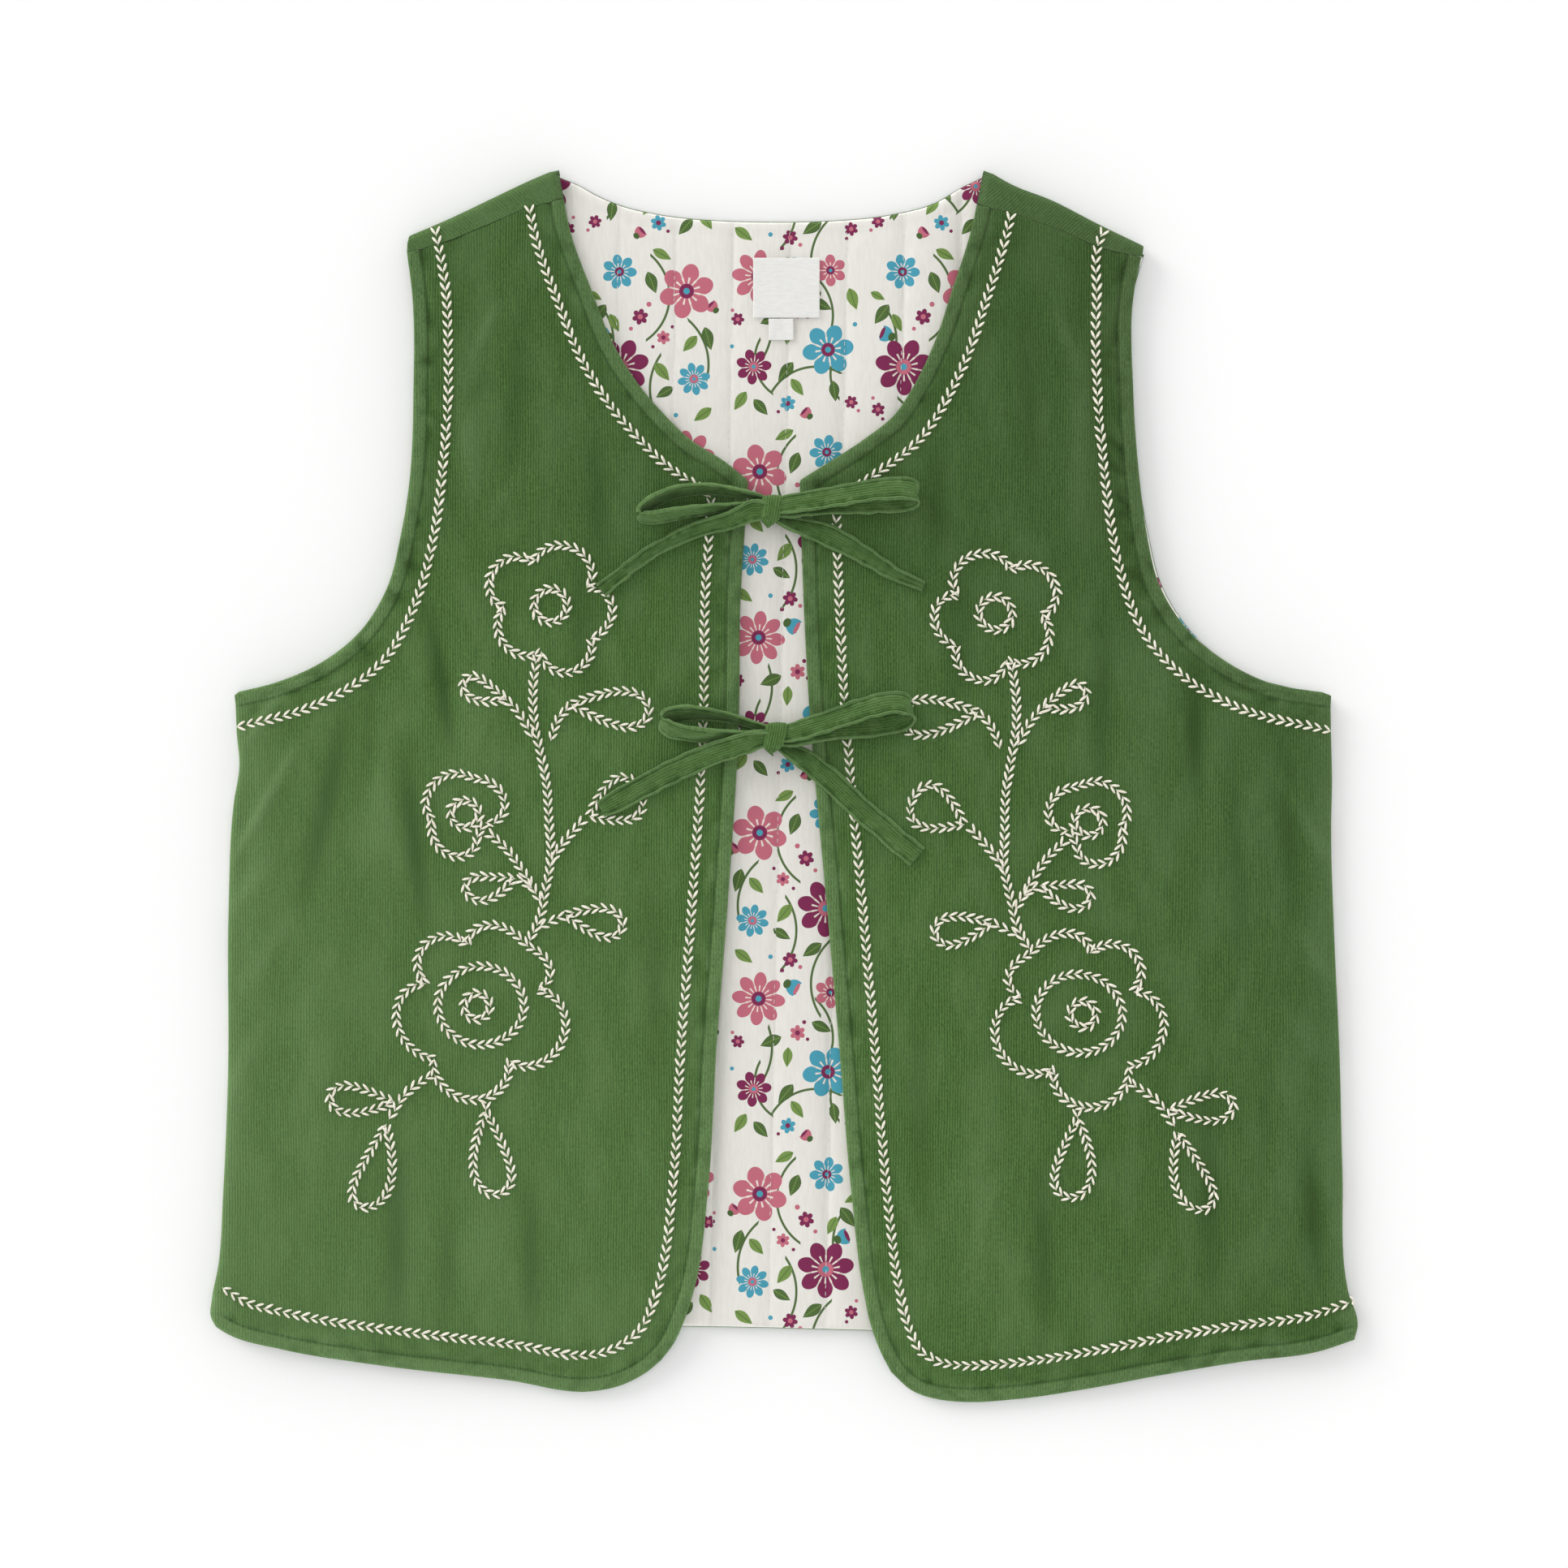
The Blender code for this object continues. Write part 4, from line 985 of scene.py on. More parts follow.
SIDE_SLOPE = 1.5
SIDE_SLOPE_WIDTH = 15.0
SEAM_ROUND = 0.35
NEAR_EDGE = (0.0, 0.2, 0.6, 1.2, 2.0, 3.0, 4.1, 5.1, 5.8, 6.25, 6.75, 7.2, 7.9, 9.0, 10.6, 12.6)
NEAR_SEAM = (0.0, 0.3, 0.8, 1.5, 2.5)
FRONT_ROWS = 292
FRONT_COLUMNS = 82


def across(width, middle_columns):
    """Shares across each row: close together near both edges and even between."""
    low = np.array(NEAR_EDGE)[None] / width[:, None]
    high = 1 - np.array(NEAR_EDGE)[::-1][None] / width[:, None]
    steps = np.linspace(0, 1, middle_columns + 2)[1:-1]
    middle = low[:, -1:] + (high[:, :1] - low[:, -1:]) * steps[None]
    return np.concatenate([low, middle, high], axis=1)


edge_ripple = Ripple(11, 4.6, 3.0)
edge_waves = Ripple(12, 15.0, 9.0)
facing_waves = Ripple(13, 7.5, 5.0)

# Each edge starts this far on in the ripples, so that no two edges pucker alike
EDGE_APART = 1000.0


def edge_relief(distance, along):
    """A turned edge that is puffed outside its stitching, sunk along it and puckered across it."""
    puff = 0.4 * np.sin(np.pi * np.clip(distance / STITCH_INSET, 0.0, 1.0)) * (distance < STITCH_INSET)
    groove = -0.4 * np.exp(-(((distance - STITCH_INSET) / 0.9) ** 2))
    ripples = edge_ripple.at(along, distance) * 0.6 * np.exp(-(((distance - STITCH_INSET) / 3.8) ** 2))
    facing = facing_waves.at(along, distance) * 0.34 * np.exp(-(((distance - 13.0) / 8.0) ** 2))
    waves = edge_waves.at(along, distance) * 0.5 * np.exp(-((distance / 20.0) ** 2))
    return puff + groove + ripples + (waves + facing) * ease(distance / 2.0)


def build_front(side_name, side, armhole, front_edge, neck, hem, seam):
    seam_line = [(x, y - 0.06) for x, y in seam]
    panel = Panel(
        Edge(1, side, armhole[:-1] + [seam_line[0]]),
        Edge(1, front_edge, neck[:-1] + [seam_line[-1]]),
        Edge(0, hem),
        Edge(0, seam_line),
    )
    near_hem = np.array(NEAR_EDGE) / panel.length()
    near_top = 1 - np.array(NEAR_SEAM)[::-1] / panel.length()
    body = np.linspace(near_hem[-1], near_top[0], FRONT_ROWS)[1:-1]
    v = np.concatenate([near_hem, body, near_top])
    u = across(panel.width(v), FRONT_COLUMNS)
    v = np.repeat(v[:, None], u.shape[1], axis=1)
    spot = panel.point(u, v)
    x, y = spot[..., 0], spot[..., 1]
    side_line, armhole_line = smooth(side), smooth(armhole[:-1] + [seam_line[0]])
    stitched = [armhole_line, smooth(hem), smooth(front_edge), smooth(neck[:-1] + [seam_line[-1]])]
    edge_distance, edge_along = nearest(spot, stitched[0])
    for number, line in enumerate(stitched[1:], 1):
        distance, along = nearest(spot, line)
        closer = distance < edge_distance
        edge_distance = np.where(closer, distance, edge_distance)
        edge_along = np.where(closer, along + number * EDGE_APART, edge_along)
    side_distance, _ = nearest(spot, side_line)
    seam_distance, _ = nearest(spot, smooth(seam_line))
    rim = np.minimum(np.minimum(edge_distance, side_distance), seam_distance)
    curl = ease((side[-1][1] - y) / CURL_FADE)
    base = front_base(x, y)
    top = base + edge_relief(edge_distance, edge_along)
    top -= SIDE_SLOPE * np.exp(-((side_distance / SIDE_SLOPE_WIDTH) ** 2)) * curl
    half = FRONT_WALL / 2
    top -= half * (1 - rounded(edge_distance, half)) + SEAM_ROUND * (1 - rounded(seam_distance, SEAM_ROUND))
    fallen = (1 - rounded(u * panel.width(v), FOLD_RADIUS)) * curl
    top -= np.maximum(top - SIDE_SEAM_HIGH, 0.0) * fallen
    wall = FRONT_WALL * rounded(rim, half) * (1 - 0.6 * fallen)
    bottom = top - np.maximum(wall, 0.0)
    # Painted light and shade: creases and troughs are painted darker, and ridges, folds, puckers near the
    # edges and the rolled side edges lighter, following the relief
    puckered = edge_ripple.at(edge_along, edge_distance) * 0.7
    puckered += facing_waves.at(edge_along, edge_distance) * 0.6
    painted_light_shade = line_heights(x, y, CREASES) + puckered * np.exp(-((edge_distance / 14.0) ** 2))
    painted_light_shade += np.exp(-((side_distance / 9.0) ** 2)) * curl * 0.8 + line_heights(x, y, FRONT_FOLDS) * 0.4
    piece = shell(
        f"front_{side_name}_cloth", np.dstack([x, y, top]), np.dstack([x, y, bottom]),
        np.dstack([x, y, edge_distance]), [cord_look, print_look], painted_light_shade=painted_light_shade,
    )
    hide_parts(f"front_{side_name}")
    return piece, stitched


# Back


def back_panel():
    left_top = [(x, y - FOLD_RADIUS) for x, y in LEFT_SHOULDER_FOLD]
    right_top = [(x, y - FOLD_RADIUS) for x, y in reversed(RIGHT_SHOULDER_FOLD)]
    neck = [left_top[-1]] + BACK_NECK + [right_top[0]]
    return Panel(
        Edge(1, LEFT_SIDE, BACK_LEFT_ARMHOLE[:-1] + [left_top[0]]),
        Edge(1, RIGHT_SIDE, BACK_RIGHT_ARMHOLE[:-1] + [right_top[-1]]),
        BACK_HEM_EDGE,
        Edge(0, left_top, neck, right_top),
    )


BACK_LIFT = 0.45
BACK_ROWS = 130
SHOULDER_COLUMNS = 15
NECK_COLUMNS = 46
FOLD_STEPS = 15
YOKE_LENGTH = 20.0
YOKE_PAINTED_LIGHT = 0.7


def build_back():
    panel = back_panel()
    left_neck = panel.top.share(LEFT_SHOULDER_FOLD[-1][0])
    right_neck = panel.top.share(RIGHT_SHOULDER_FOLD[-1][0])
    near_hem = np.array(NEAR_EDGE) / panel.length()
    v = np.concatenate([near_hem, np.linspace(near_hem[-1], 1.0, BACK_ROWS)[1:]])
    width = panel.width(v)
    near = np.array(NEAR_EDGE)[None] / width[:, None]
    shoulder = np.linspace(0, 1, SHOULDER_COLUMNS)[1:]
    middle = np.linspace(0, 1, NECK_COLUMNS)[1:]
    left = near[:, -1:] + (left_neck - near[:, -1:]) * shoulder[None]
    centre = np.repeat(left_neck + (right_neck - left_neck) * middle[None], len(v), axis=0)
    right = right_neck + (1 - near[:, -1:] - right_neck) * shoulder[None]
    u = np.concatenate([near, left, centre, right, (1 - near)[:, ::-1][:, 1:]], axis=1)
    left_last = near.shape[1] + left.shape[1] - 1
    right_first = left_last + centre.shape[1]
    v = np.repeat(v[:, None], u.shape[1], axis=1)
    spot = panel.point(u, v)
    from_side = np.minimum(u, 1 - u) * panel.width(v)
    corner = np.where(u < 0.5, LEFT_SIDE[-1][1], RIGHT_SIDE[-1][1])
    curl = ease((corner - CURL_FADE - spot[..., 1]) / CURL_FADE)
    risen = (1 - rounded(from_side, FOLD_RADIUS)) * curl
    outer = np.dstack([spot, SIDE_SEAM_LOW * risen])
    flat = spot.copy()
    bends = np.radians(np.linspace(-90, 90, FOLD_STEPS)[1:])
    reach = 1 - np.array(NEAR_EDGE[:8])[::-1] / YOKE_LENGTH
    beyond = np.concatenate([np.linspace(0, reach[0], 5)[1:-1], reach])
    rows, flats = [], []
    top_x = spot[-1, :, 0]
    for sign, fold_rows, seam_rows in (
        (-1, LEFT_SHOULDER_FOLD, LEFT_SHOULDER_SEAM), (1, RIGHT_SHOULDER_FOLD, RIGHT_SHOULDER_SEAM),
    ):
        fold, seam = Edge(0, fold_rows), Edge(0, seam_rows)
        share = np.clip(fold.share(top_x), 0.0, 1.0)
        start, end = fold.at(share), seam.at(share)
        room = start[:, 1] - end[:, 1]
        inward = [FOLD_RADIUS * (1 - math.cos(bend)) for bend in bends]
        inward = [np.full(len(top_x), step) for step in inward]
        inward += [FOLD_RADIUS + (room - FOLD_RADIUS) * step for step in beyond]
        heights = [FOLD_RADIUS * (1 + math.sin(bend)) for bend in bends] + [FRONT_TOP] * len(beyond)
        slope = math.atan2(fold_rows[-1][1] - fold_rows[0][1], fold_rows[-1][0] - fold_rows[0][0])
        for index, (step, height) in enumerate(zip(inward, heights)):
            shifted = start[:, 0] + (end[:, 0] - start[:, 0]) * step / room
            placed = np.column_stack([shifted, start[:, 1] - step, np.full(len(top_x), height)])
            if index < len(bends):
                past = FOLD_RADIUS * bends[index]
            else:
                past = FOLD_RADIUS * math.pi / 2 + step - FOLD_RADIUS
            run = np.maximum(past, 0.0)
            cloth_y = start[:, 1] + run * math.cos(2 * slope) + np.minimum(past, 0.0)
            on_cloth = np.column_stack([shifted - run * math.sin(2 * slope), cloth_y])
            if sign == -1:
                rows.append(placed)
                flats.append(on_cloth)
            else:
                use = np.arange(len(top_x)) >= right_first
                rows[index][use] = placed[use]
                flats[index][use] = on_cloth[use]
    outer = np.concatenate([outer, np.array(rows)])
    flat = np.concatenate([flat, np.array(flats)])
    present = np.ones((outer.shape[0] - 1, outer.shape[1] - 1), bool)
    present[len(v) - 1 :, left_last:right_first] = False
    down, right_way = np.gradient(outer, axis=0), np.gradient(outer, axis=1)
    normal = np.cross(down, right_way)
    normal /= np.maximum(np.linalg.norm(normal, axis=2), 1e-9)[..., None]
    rim = back_rim(outer, present)
    half = BACK_WALL / 2
    turned_edge = np.where(outer[..., 2] > FRONT_TOP - 0.2, SEAM_ROUND, half)
    lifted = outer - normal * (turned_edge * (1 - rounded(rim, turned_edge)))[..., None]
    lift = BACK_LIFT * (1 - outer[..., 2] / FOLD_RADIUS)
    lifted[..., 2] += np.where(outer[..., 2] < FOLD_RADIUS, lift, 0.0)
    wall = (BACK_WALL - BACK_LIFT) * rounded(rim, half) * (1 - 0.5 * np.pad(risen, ((0, len(rows)), (0, 0))))
    inner = lifted - normal * wall[..., None]
    # Painted highlight: the back is painted lighter the higher it rises over the shoulder fold
    yoke = ease((outer[..., 2] - FOLD_RADIUS) / FOLD_RADIUS) * YOKE_PAINTED_LIGHT
    piece = shell("back_cloth", lifted, inner, flat, [cord_look], present, painted_light_shade=yoke)
    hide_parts("back")
    return piece, panel


def back_rim(points, present):
    """Distance from each point of the back to the nearest point of its rim."""
    touched = faces_touching(present)
    rim = points[(touched > 0) & (touched < 4)]
    flat = points.reshape(-1, 3)
    best = np.full(len(flat), 1e9)
    for corner in rim:
        off = flat - corner
        best = np.minimum(best, (off * off).sum(axis=1))
    return np.sqrt(best).reshape(points.shape[:2])


# Lining

# The stretch of the lining that shows has closer columns
VISIBLE = (-112.0, 102.0)
VISIBLE_COLUMNS = 152
HIDDEN_COLUMNS = 26
LINING_INSET = 0.4
LINING_SIDE_INSET = 4.6


def quilt_line(index, y):
    return QUILT_MIDDLE + QUILT_PITCH * index + QUILT_SLANT * y


lining_waves = Ripple(21, 22.0, 30.0)
quilt_ripple = Ripple(22, 1.0, 3.6)
channel_waves = Ripple(23, 9.0, 6.5)


def lining_top(x, y):
    """Top of the lining: puffed channels, sunk along the quilting, with small puckers across it."""
    share = (x - QUILT_MIDDLE - QUILT_SLANT * y) / QUILT_PITCH
    line = np.round(share)
    off = np.abs(share - line) * QUILT_PITCH
    puffed = 1 - np.clip(1 - off / (QUILT_PITCH / 2), 0.0, 1.0) ** 3.2
    pucker = quilt_ripple.at(line * 7.3, y) * 0.22 * np.exp(-((off / 4.2) ** 2)) * ease(off / 1.2)
    sunk = -0.3 * np.exp(-((off / 0.7) ** 2))
    waves = 0.16 * lining_waves.at(x, y) + 0.08 * channel_waves.at(x, y)
    return LINING_BASE + LINING_THIN + (QUILT_RISE - 0.2) * puffed + pucker + sunk + waves * ease(off / 5.0)


def build_lining(panel):
    length = panel.length()
    v = np.concatenate([
        [LINING_INSET / length, (LINING_INSET + 0.7) / length], np.linspace(0.006, 0.70, 100),
        np.linspace(0.70, 1.0, 76)[1:-2], [1 - 1.6 / length, 1 - 0.9 / length, 1 - LINING_INSET / length],
    ])
    low, high = panel.outer.at(v), panel.inner.at(v)
    curl_left = ease((LEFT_SIDE[-1][1] - low[:, 1]) / CURL_FADE)
    curl_right = ease((RIGHT_SIDE[-1][1] - high[:, 1]) / CURL_FADE)
    left = low[:, 0] + LINING_INSET + (LINING_SIDE_INSET - LINING_INSET) * curl_left
    right = high[:, 0] - LINING_INSET - (LINING_SIDE_INSET - LINING_INSET) * curl_right
    hidden = np.linspace(0, 1, HIDDEN_COLUMNS)[None]
    x = np.concatenate([
        left[:, None] + (VISIBLE[0] - left[:, None]) * hidden[:, :-1],
        np.repeat(np.linspace(*VISIBLE, VISIBLE_COLUMNS)[None], len(v), axis=0),
        VISIBLE[1] + (right[:, None] - VISIBLE[1]) * hidden[:, 1:],
    ], axis=1)
    v = np.repeat(v[:, None], x.shape[1], axis=1)
    start = panel.outer.at(v)[..., 0]
    u = (x - start) / (panel.inner.at(v)[..., 0] - start)
    y = panel.point(u, v)[..., 1]
    shoulder = (x < LEFT_SHOULDER_FOLD[-1][0]) | (x > RIGHT_SHOULDER_FOLD[-1][0])
    y = y - np.where(shoulder, 1.0, 0.0) * ease((v - 0.97) / 0.03)
    from_hem = np.arange(len(x))
    rim_rows = np.minimum(from_hem, from_hem[::-1])[:, None]
    rim_columns = np.minimum(x - left[:, None], right[:, None] - x)
    neck = smooth([(x0, y0 - LINING_INSET) for x0, y0 in BACK_NECK])
    spot = np.dstack([x, y])
    neck_distance, _ = nearest(spot, neck)
    rim = np.minimum(np.minimum(rim_columns, neck_distance), rim_rows * 1.5)
    held = rounded(rim, 1.4)
    top = LINING_BASE + 0.5 + (lining_top(x, y) - LINING_BASE - 0.5) * held
    top -= 0.4 * np.exp(-(((neck_distance - STITCH_INSET) / 0.8) ** 2)) * (y > 255)
    bottom = np.where(held > 0, LINING_BASE + 0.5 * (1 - held), LINING_BASE + 0.5)
    piece = shell(
        "back_lining_cloth", np.dstack([x, y, top]), np.dstack([x, y, bottom]), spot, [print_look],
    )
    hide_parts("back_lining")
    return piece


back_piece, back_cut = build_back()
lining_piece = build_lining(back_cut)
left_piece, left_edges = build_front(
    "left", LEFT_SIDE, LEFT_ARMHOLE, LEFT_FRONT_EDGE, LEFT_NECK, LEFT_HEM, LEFT_SHOULDER_SEAM,
)
right_piece, right_edges = build_front(
    "right", RIGHT_SIDE, RIGHT_ARMHOLE, RIGHT_FRONT_EDGE, RIGHT_NECK, RIGHT_HEM, RIGHT_SHOULDER_SEAM,
)


# Labels


def tape_steps(length, count):
    """Places along a tape: close together near both ends and even between."""
    return np.concatenate([
        [0, 0.15, 0.4], np.linspace(0.9, length - 0.9, count), [length - 0.4, length - 0.15, length],
    ])


def build_tape(name, node, box, bottom, seed):
    """A woven tape, folded under at its ends and lying a little unevenly."""
    left, right, low, high = box
    x, y = np.meshgrid(left + tape_steps(right - left, 24), low + tape_steps(high - low, 20))
    rim = np.minimum(np.minimum(x - left, right - x), np.minimum(y - low, high - y))
    waves = Ripple(seed, 9.0, 8.0).at(x, y)
    held = rounded(rim, 0.35)
    base = bottom + 0.12 + 0.14 * waves
    top, under = base + 0.28 * held, base - 0.12 * held
    hems = 0.1 * ease((np.abs(x - (left + right) / 2) - (right - left) / 2 + 3.2) / 0.4)
    top += hems * held
    upper, lower = np.dstack([x, y, top]), np.dstack([x, y, under])
    piece = shell(name, upper, lower, np.dstack([x, y]), [tape_look])
    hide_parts(node)
    return piece


label_piece = build_tape("label_tape", "label", LABEL, LINING_TOP + SEAM_GAP, 31)
tab_piece = build_tape("size_tape", "size_tab", SIZE_TAB, LINING_TOP + SEAM_GAP, 32)


# Ties

HALF_ACROSS = np.array([0, 0.2, 0.4, 0.58, 0.7, 0.78, 0.86, 0.93, 0.985, 1])
ACROSS_TIE = np.concatenate([-HALF_ACROSS[:0:-1], HALF_ACROSS])
TIE_SPACING = 0.8


def along_curve(rows, spacing):
    """The rows' smooth curve at an even spacing, all columns together."""
    curve = smooth(rows, 12)
    run = np.concatenate([[0.0], np.cumsum(np.linalg.norm(np.diff(curve[:, :3], axis=0), axis=1))])
    goals = np.linspace(0.0, run[-1], max(int(run[-1] / spacing), 4) + 1)
    return np.column_stack([np.interp(goals, run, curve[:, axis]) for axis in range(curve.shape[1])]), goals


def build_ribbon(name, rows, seed, band_side=None, wall=TIE_WALL, crease=0.0):
    """A stitched tie along its rows (x, y, height, lean, width), with a sunk stitch line near each edge."""
    line, run = along_curve(rows, TIE_SPACING)
    centres, leans, widths = line[:, :3], np.radians(line[:, 3]), line[:, 4]
    ahead = np.gradient(centres, axis=0)
    ahead /= np.linalg.norm(ahead, axis=1)[:, None]
    if band_side is None:
        sideways = np.column_stack([-ahead[:, 1], ahead[:, 0], np.zeros(len(ahead))])
        sideways /= np.linalg.norm(sideways, axis=1)[:, None]
    else:
        sideways = np.repeat(np.array([band_side], float), len(ahead), axis=0)
    sideways *= np.where(sideways[:, 1:2] < 0, -1.0, 1.0)
    width_way = sideways * np.cos(leans)[:, None]
    width_way[:, 2] += np.sin(leans)
    width_way -= ahead * (ahead * width_way).sum(axis=1)[:, None]
    width_way /= np.linalg.norm(width_way, axis=1)[:, None]
    normal = np.cross(ahead, width_way)
    normal *= np.where(normal[:, 2:3] < 0, -1.0, 1.0)
    share, length = np.meshgrid(ACROSS_TIE, run)
    from_side = (1 - np.abs(share)) * widths[:, None] / 2
    from_end = np.minimum(length, run[-1] - length)
    held = rounded(np.minimum(from_side, from_end), 0.7)
    stitched = np.exp(-(((from_side - TIE_STITCH_INSET) / 0.42) ** 2))
    rolled = np.exp(-(((from_side - 0.7) / 0.6) ** 2))
    puckers = Ripple(seed, 2.6, 0.8).at(length, share) * np.exp(-(((from_side - 1.8) / 1.5) ** 2))
    creases = Ripple(seed + 30, 5.5, 0.5).at(length, share)
    relief = 0.42 * puckers + 0.26 * creases - 0.46 * stitched + 0.16 * rolled
    relief -= crease * np.exp(-((share / 0.16) ** 2))
    free = np.clip(from_end / 9, 0, 1)
    swing = Ripple(seed + 90, 13.0, 1.1).at(length, share) * 0.7 * free
    wavy = Ripple(seed + 50, 5.0, 1.0).at(length, np.sign(share)) * 0.5 * free
    reach = share * widths[:, None] / 2 + wavy * np.abs(share) ** 2 * np.sign(share)
    middle = centres[:, None] + width_way[:, None] * reach[..., None] + normal[:, None] * swing[..., None]
    half = (wall / 2 + relief) * held
    top = middle + normal[:, None] * half[..., None]
    bottom = middle - normal[:, None] * half[..., None]
    grain = np.dstack([share * TIE_WIDTH / 2, length, from_side])
    # Painted light and shade on the tie: lighter on puckers, creases and rolled edges, darker in the stitch
    # grooves
    painted_relief_tone = 1.1 * puckers + 0.5 * creases + 0.7 * rolled - 0.7 * stitched
    piece = shell(f"{name}_cloth", top, bottom, grain, [tie_look], painted_light_shade=painted_relief_tone)
    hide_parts(name)
    return piece, run[-1]


def loop_rows(name, steps=36):
    """A bow's loop: out from the knot, round its tip and back, as a teardrop."""
    x0, y0, x1, y1, height, spread, lift, lean, arch, pointed, knot_level, knot_width = LOOPS[name]
    axis = np.array([x1 - x0, y1 - y0, 0.0])
    sideways = np.array([-axis[1], axis[0], 0.0])
    sideways /= np.linalg.norm(sideways)
    sideways *= -1 if sideways[1] < 0 else 1
    opening = np.array([sideways[0] * spread, sideways[1] * spread, lift])
    rows = []
    for step in range(steps + 1):
        turn = 2 * math.pi * step / steps
        along = math.sin(turn / 2) ** pointed
        opened = float(ease(along / LOOP_GATHER))
        level = knot_level + (height - knot_level) * opened
        centre = np.array([x0, y0, level]) + axis * along + sideways * arch * math.sin(math.pi * along)
        centre = centre + opening * math.sin(turn) * math.sin(turn / 2)
        centre = centre + opening / np.linalg.norm(opening) * LOOP_KNOT_HALF * math.cos(turn / 2)
        rows.append((*centre, lean, knot_width + (TIE_WIDTH - knot_width) * opened))
    return rows, sideways


def tucked(rows, knot, both=False):
    """The rows with their knot end, or both ends, carried on into the knot and drawn in."""
    x, y = KNOTS[knot][0], KNOTS[knot][1]
    first = (x, (rows[0][1] + y) / 2, rows[0][2] - 0.6, rows[0][3], rows[0][4] * 0.72)
    last = (x, (rows[-1][1] + y) / 2, rows[-1][2] - 0.6, rows[-1][3], rows[-1][4] * 0.72)
    return [first] + list(rows) + ([last] if both else [])


LOOP_SEED, TAIL_SEED, ROOT_SEED, KNOT_SEED = 100, 110, 120, 130
ties = {}
for number, tie in enumerate(LOOPS):
    tie_rows, tie_side = loop_rows(tie)
    tie_rows = tucked(tie_rows, tie.split("_")[0], True)
    ties[tie] = build_ribbon(tie, tie_rows, LOOP_SEED + number, tie_side)
for number, tie in enumerate(TAILS):
    tie_rows = tucked(TAILS[tie], tie.split("_")[0])
    middle_crease = 0.4 if tie == "top_tail_left" else 0.0
    ties[tie] = build_ribbon(tie, tie_rows, TAIL_SEED + number, crease=middle_crease)
for number, tie in enumerate(ROOTS):
    tie_rows = [(*row, 0.0, ROOT_WIDTH) for row in ROOTS[tie]]
    ties[tie] = build_ribbon(tie, tie_rows, ROOT_SEED + number, (0, 1, 0))


def build_knot(bow, seed):
    """A knot: a band wound tightly round the ties, folded to a point at its lower end."""
    x, y, width, length, aside = KNOTS[bow]
    rows, columns = 44, 48
    shares = np.linspace(0, 1, rows)
    turns = np.linspace(0, 2 * np.pi, columns, endpoint=False)
    points, grain = [], []
    uneven = Ripple(seed, 0.5, 0.16)
    for share in shares:
        down = 1 - share
        point = float(ease(share / 0.3))
        closing = math.sqrt(max(1 - abs(2 * share - 1) ** 9.0, 0.0))
        half = width / 2 * (1 - 0.2 * down) * max(closing, 0.03) * (0.22 + 0.78 * point)
        folded = 1 - 0.34 * (1 - float(ease((share - 0.16) / 0.14)))
        rise = KNOT_HEIGHT / 2 * (0.86 + 0.14 * math.sin(math.pi * share)) * max(closing, 0.03) * folded
        middle = (x + aside * down**1.4, y - length / 2 + length * share, KNOT_BOTTOM + KNOT_HEIGHT * 0.47)
        for turn in turns:
            cosine, sine = math.cos(turn), math.sin(turn)
            bulge = 1 + 0.035 * float(uneven.at(turn, share))
            side = math.copysign(abs(cosine) ** 0.5, cosine) * half * bulge
            up = math.copysign(abs(sine) ** 0.55, sine) * rise * bulge
            points.append((middle[0] + side, middle[1], middle[2] + up))
            grain.append((side, middle[1], FAR))
    faces = []
    for row in range(rows - 1):
        for column in range(columns):
            low, high = row * columns + column, row * columns + (column + 1) % columns
            faces.append((low, high, high + columns, low + columns))
    faces.append(tuple(range(columns - 1, -1, -1)))
    faces.append(tuple(range((rows - 1) * columns, rows * columns)))
    mesh = bpy.data.meshes.new(f"{bow}_knot_cloth")
    mesh.from_pydata(world(points).tolist(), [], faces)
    write_grain(mesh, grain)
    mesh.materials.append(tie_look)
    mesh.shade_smooth()
    piece = link_piece(f"{bow}_knot_cloth", mesh)
    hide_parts(f"{bow}_knot")
    return piece


knots = {bow: build_knot(bow, KNOT_SEED + number) for number, bow in enumerate(KNOTS)}


# Stitching on the surfaces

HIGH = 60.0
# Places round a stitch where the surface under it is felt for, so that it bridges a seam's step
FEELERS = ((0, 0), (0.7, 0), (-0.7, 0), (0, 0.9), (0, -0.9))
SEAM_STEP = 0.8


def tree_of(*pieces):
    points, faces = [], []
    for piece in pieces:
        start = len(points)
        points += [vertex.co.copy() for vertex in piece.data.vertices]
        faces += [[start + corner for corner in face.vertices] for face in piece.data.polygons]
    return BVHTree.FromPolygons(points, faces)


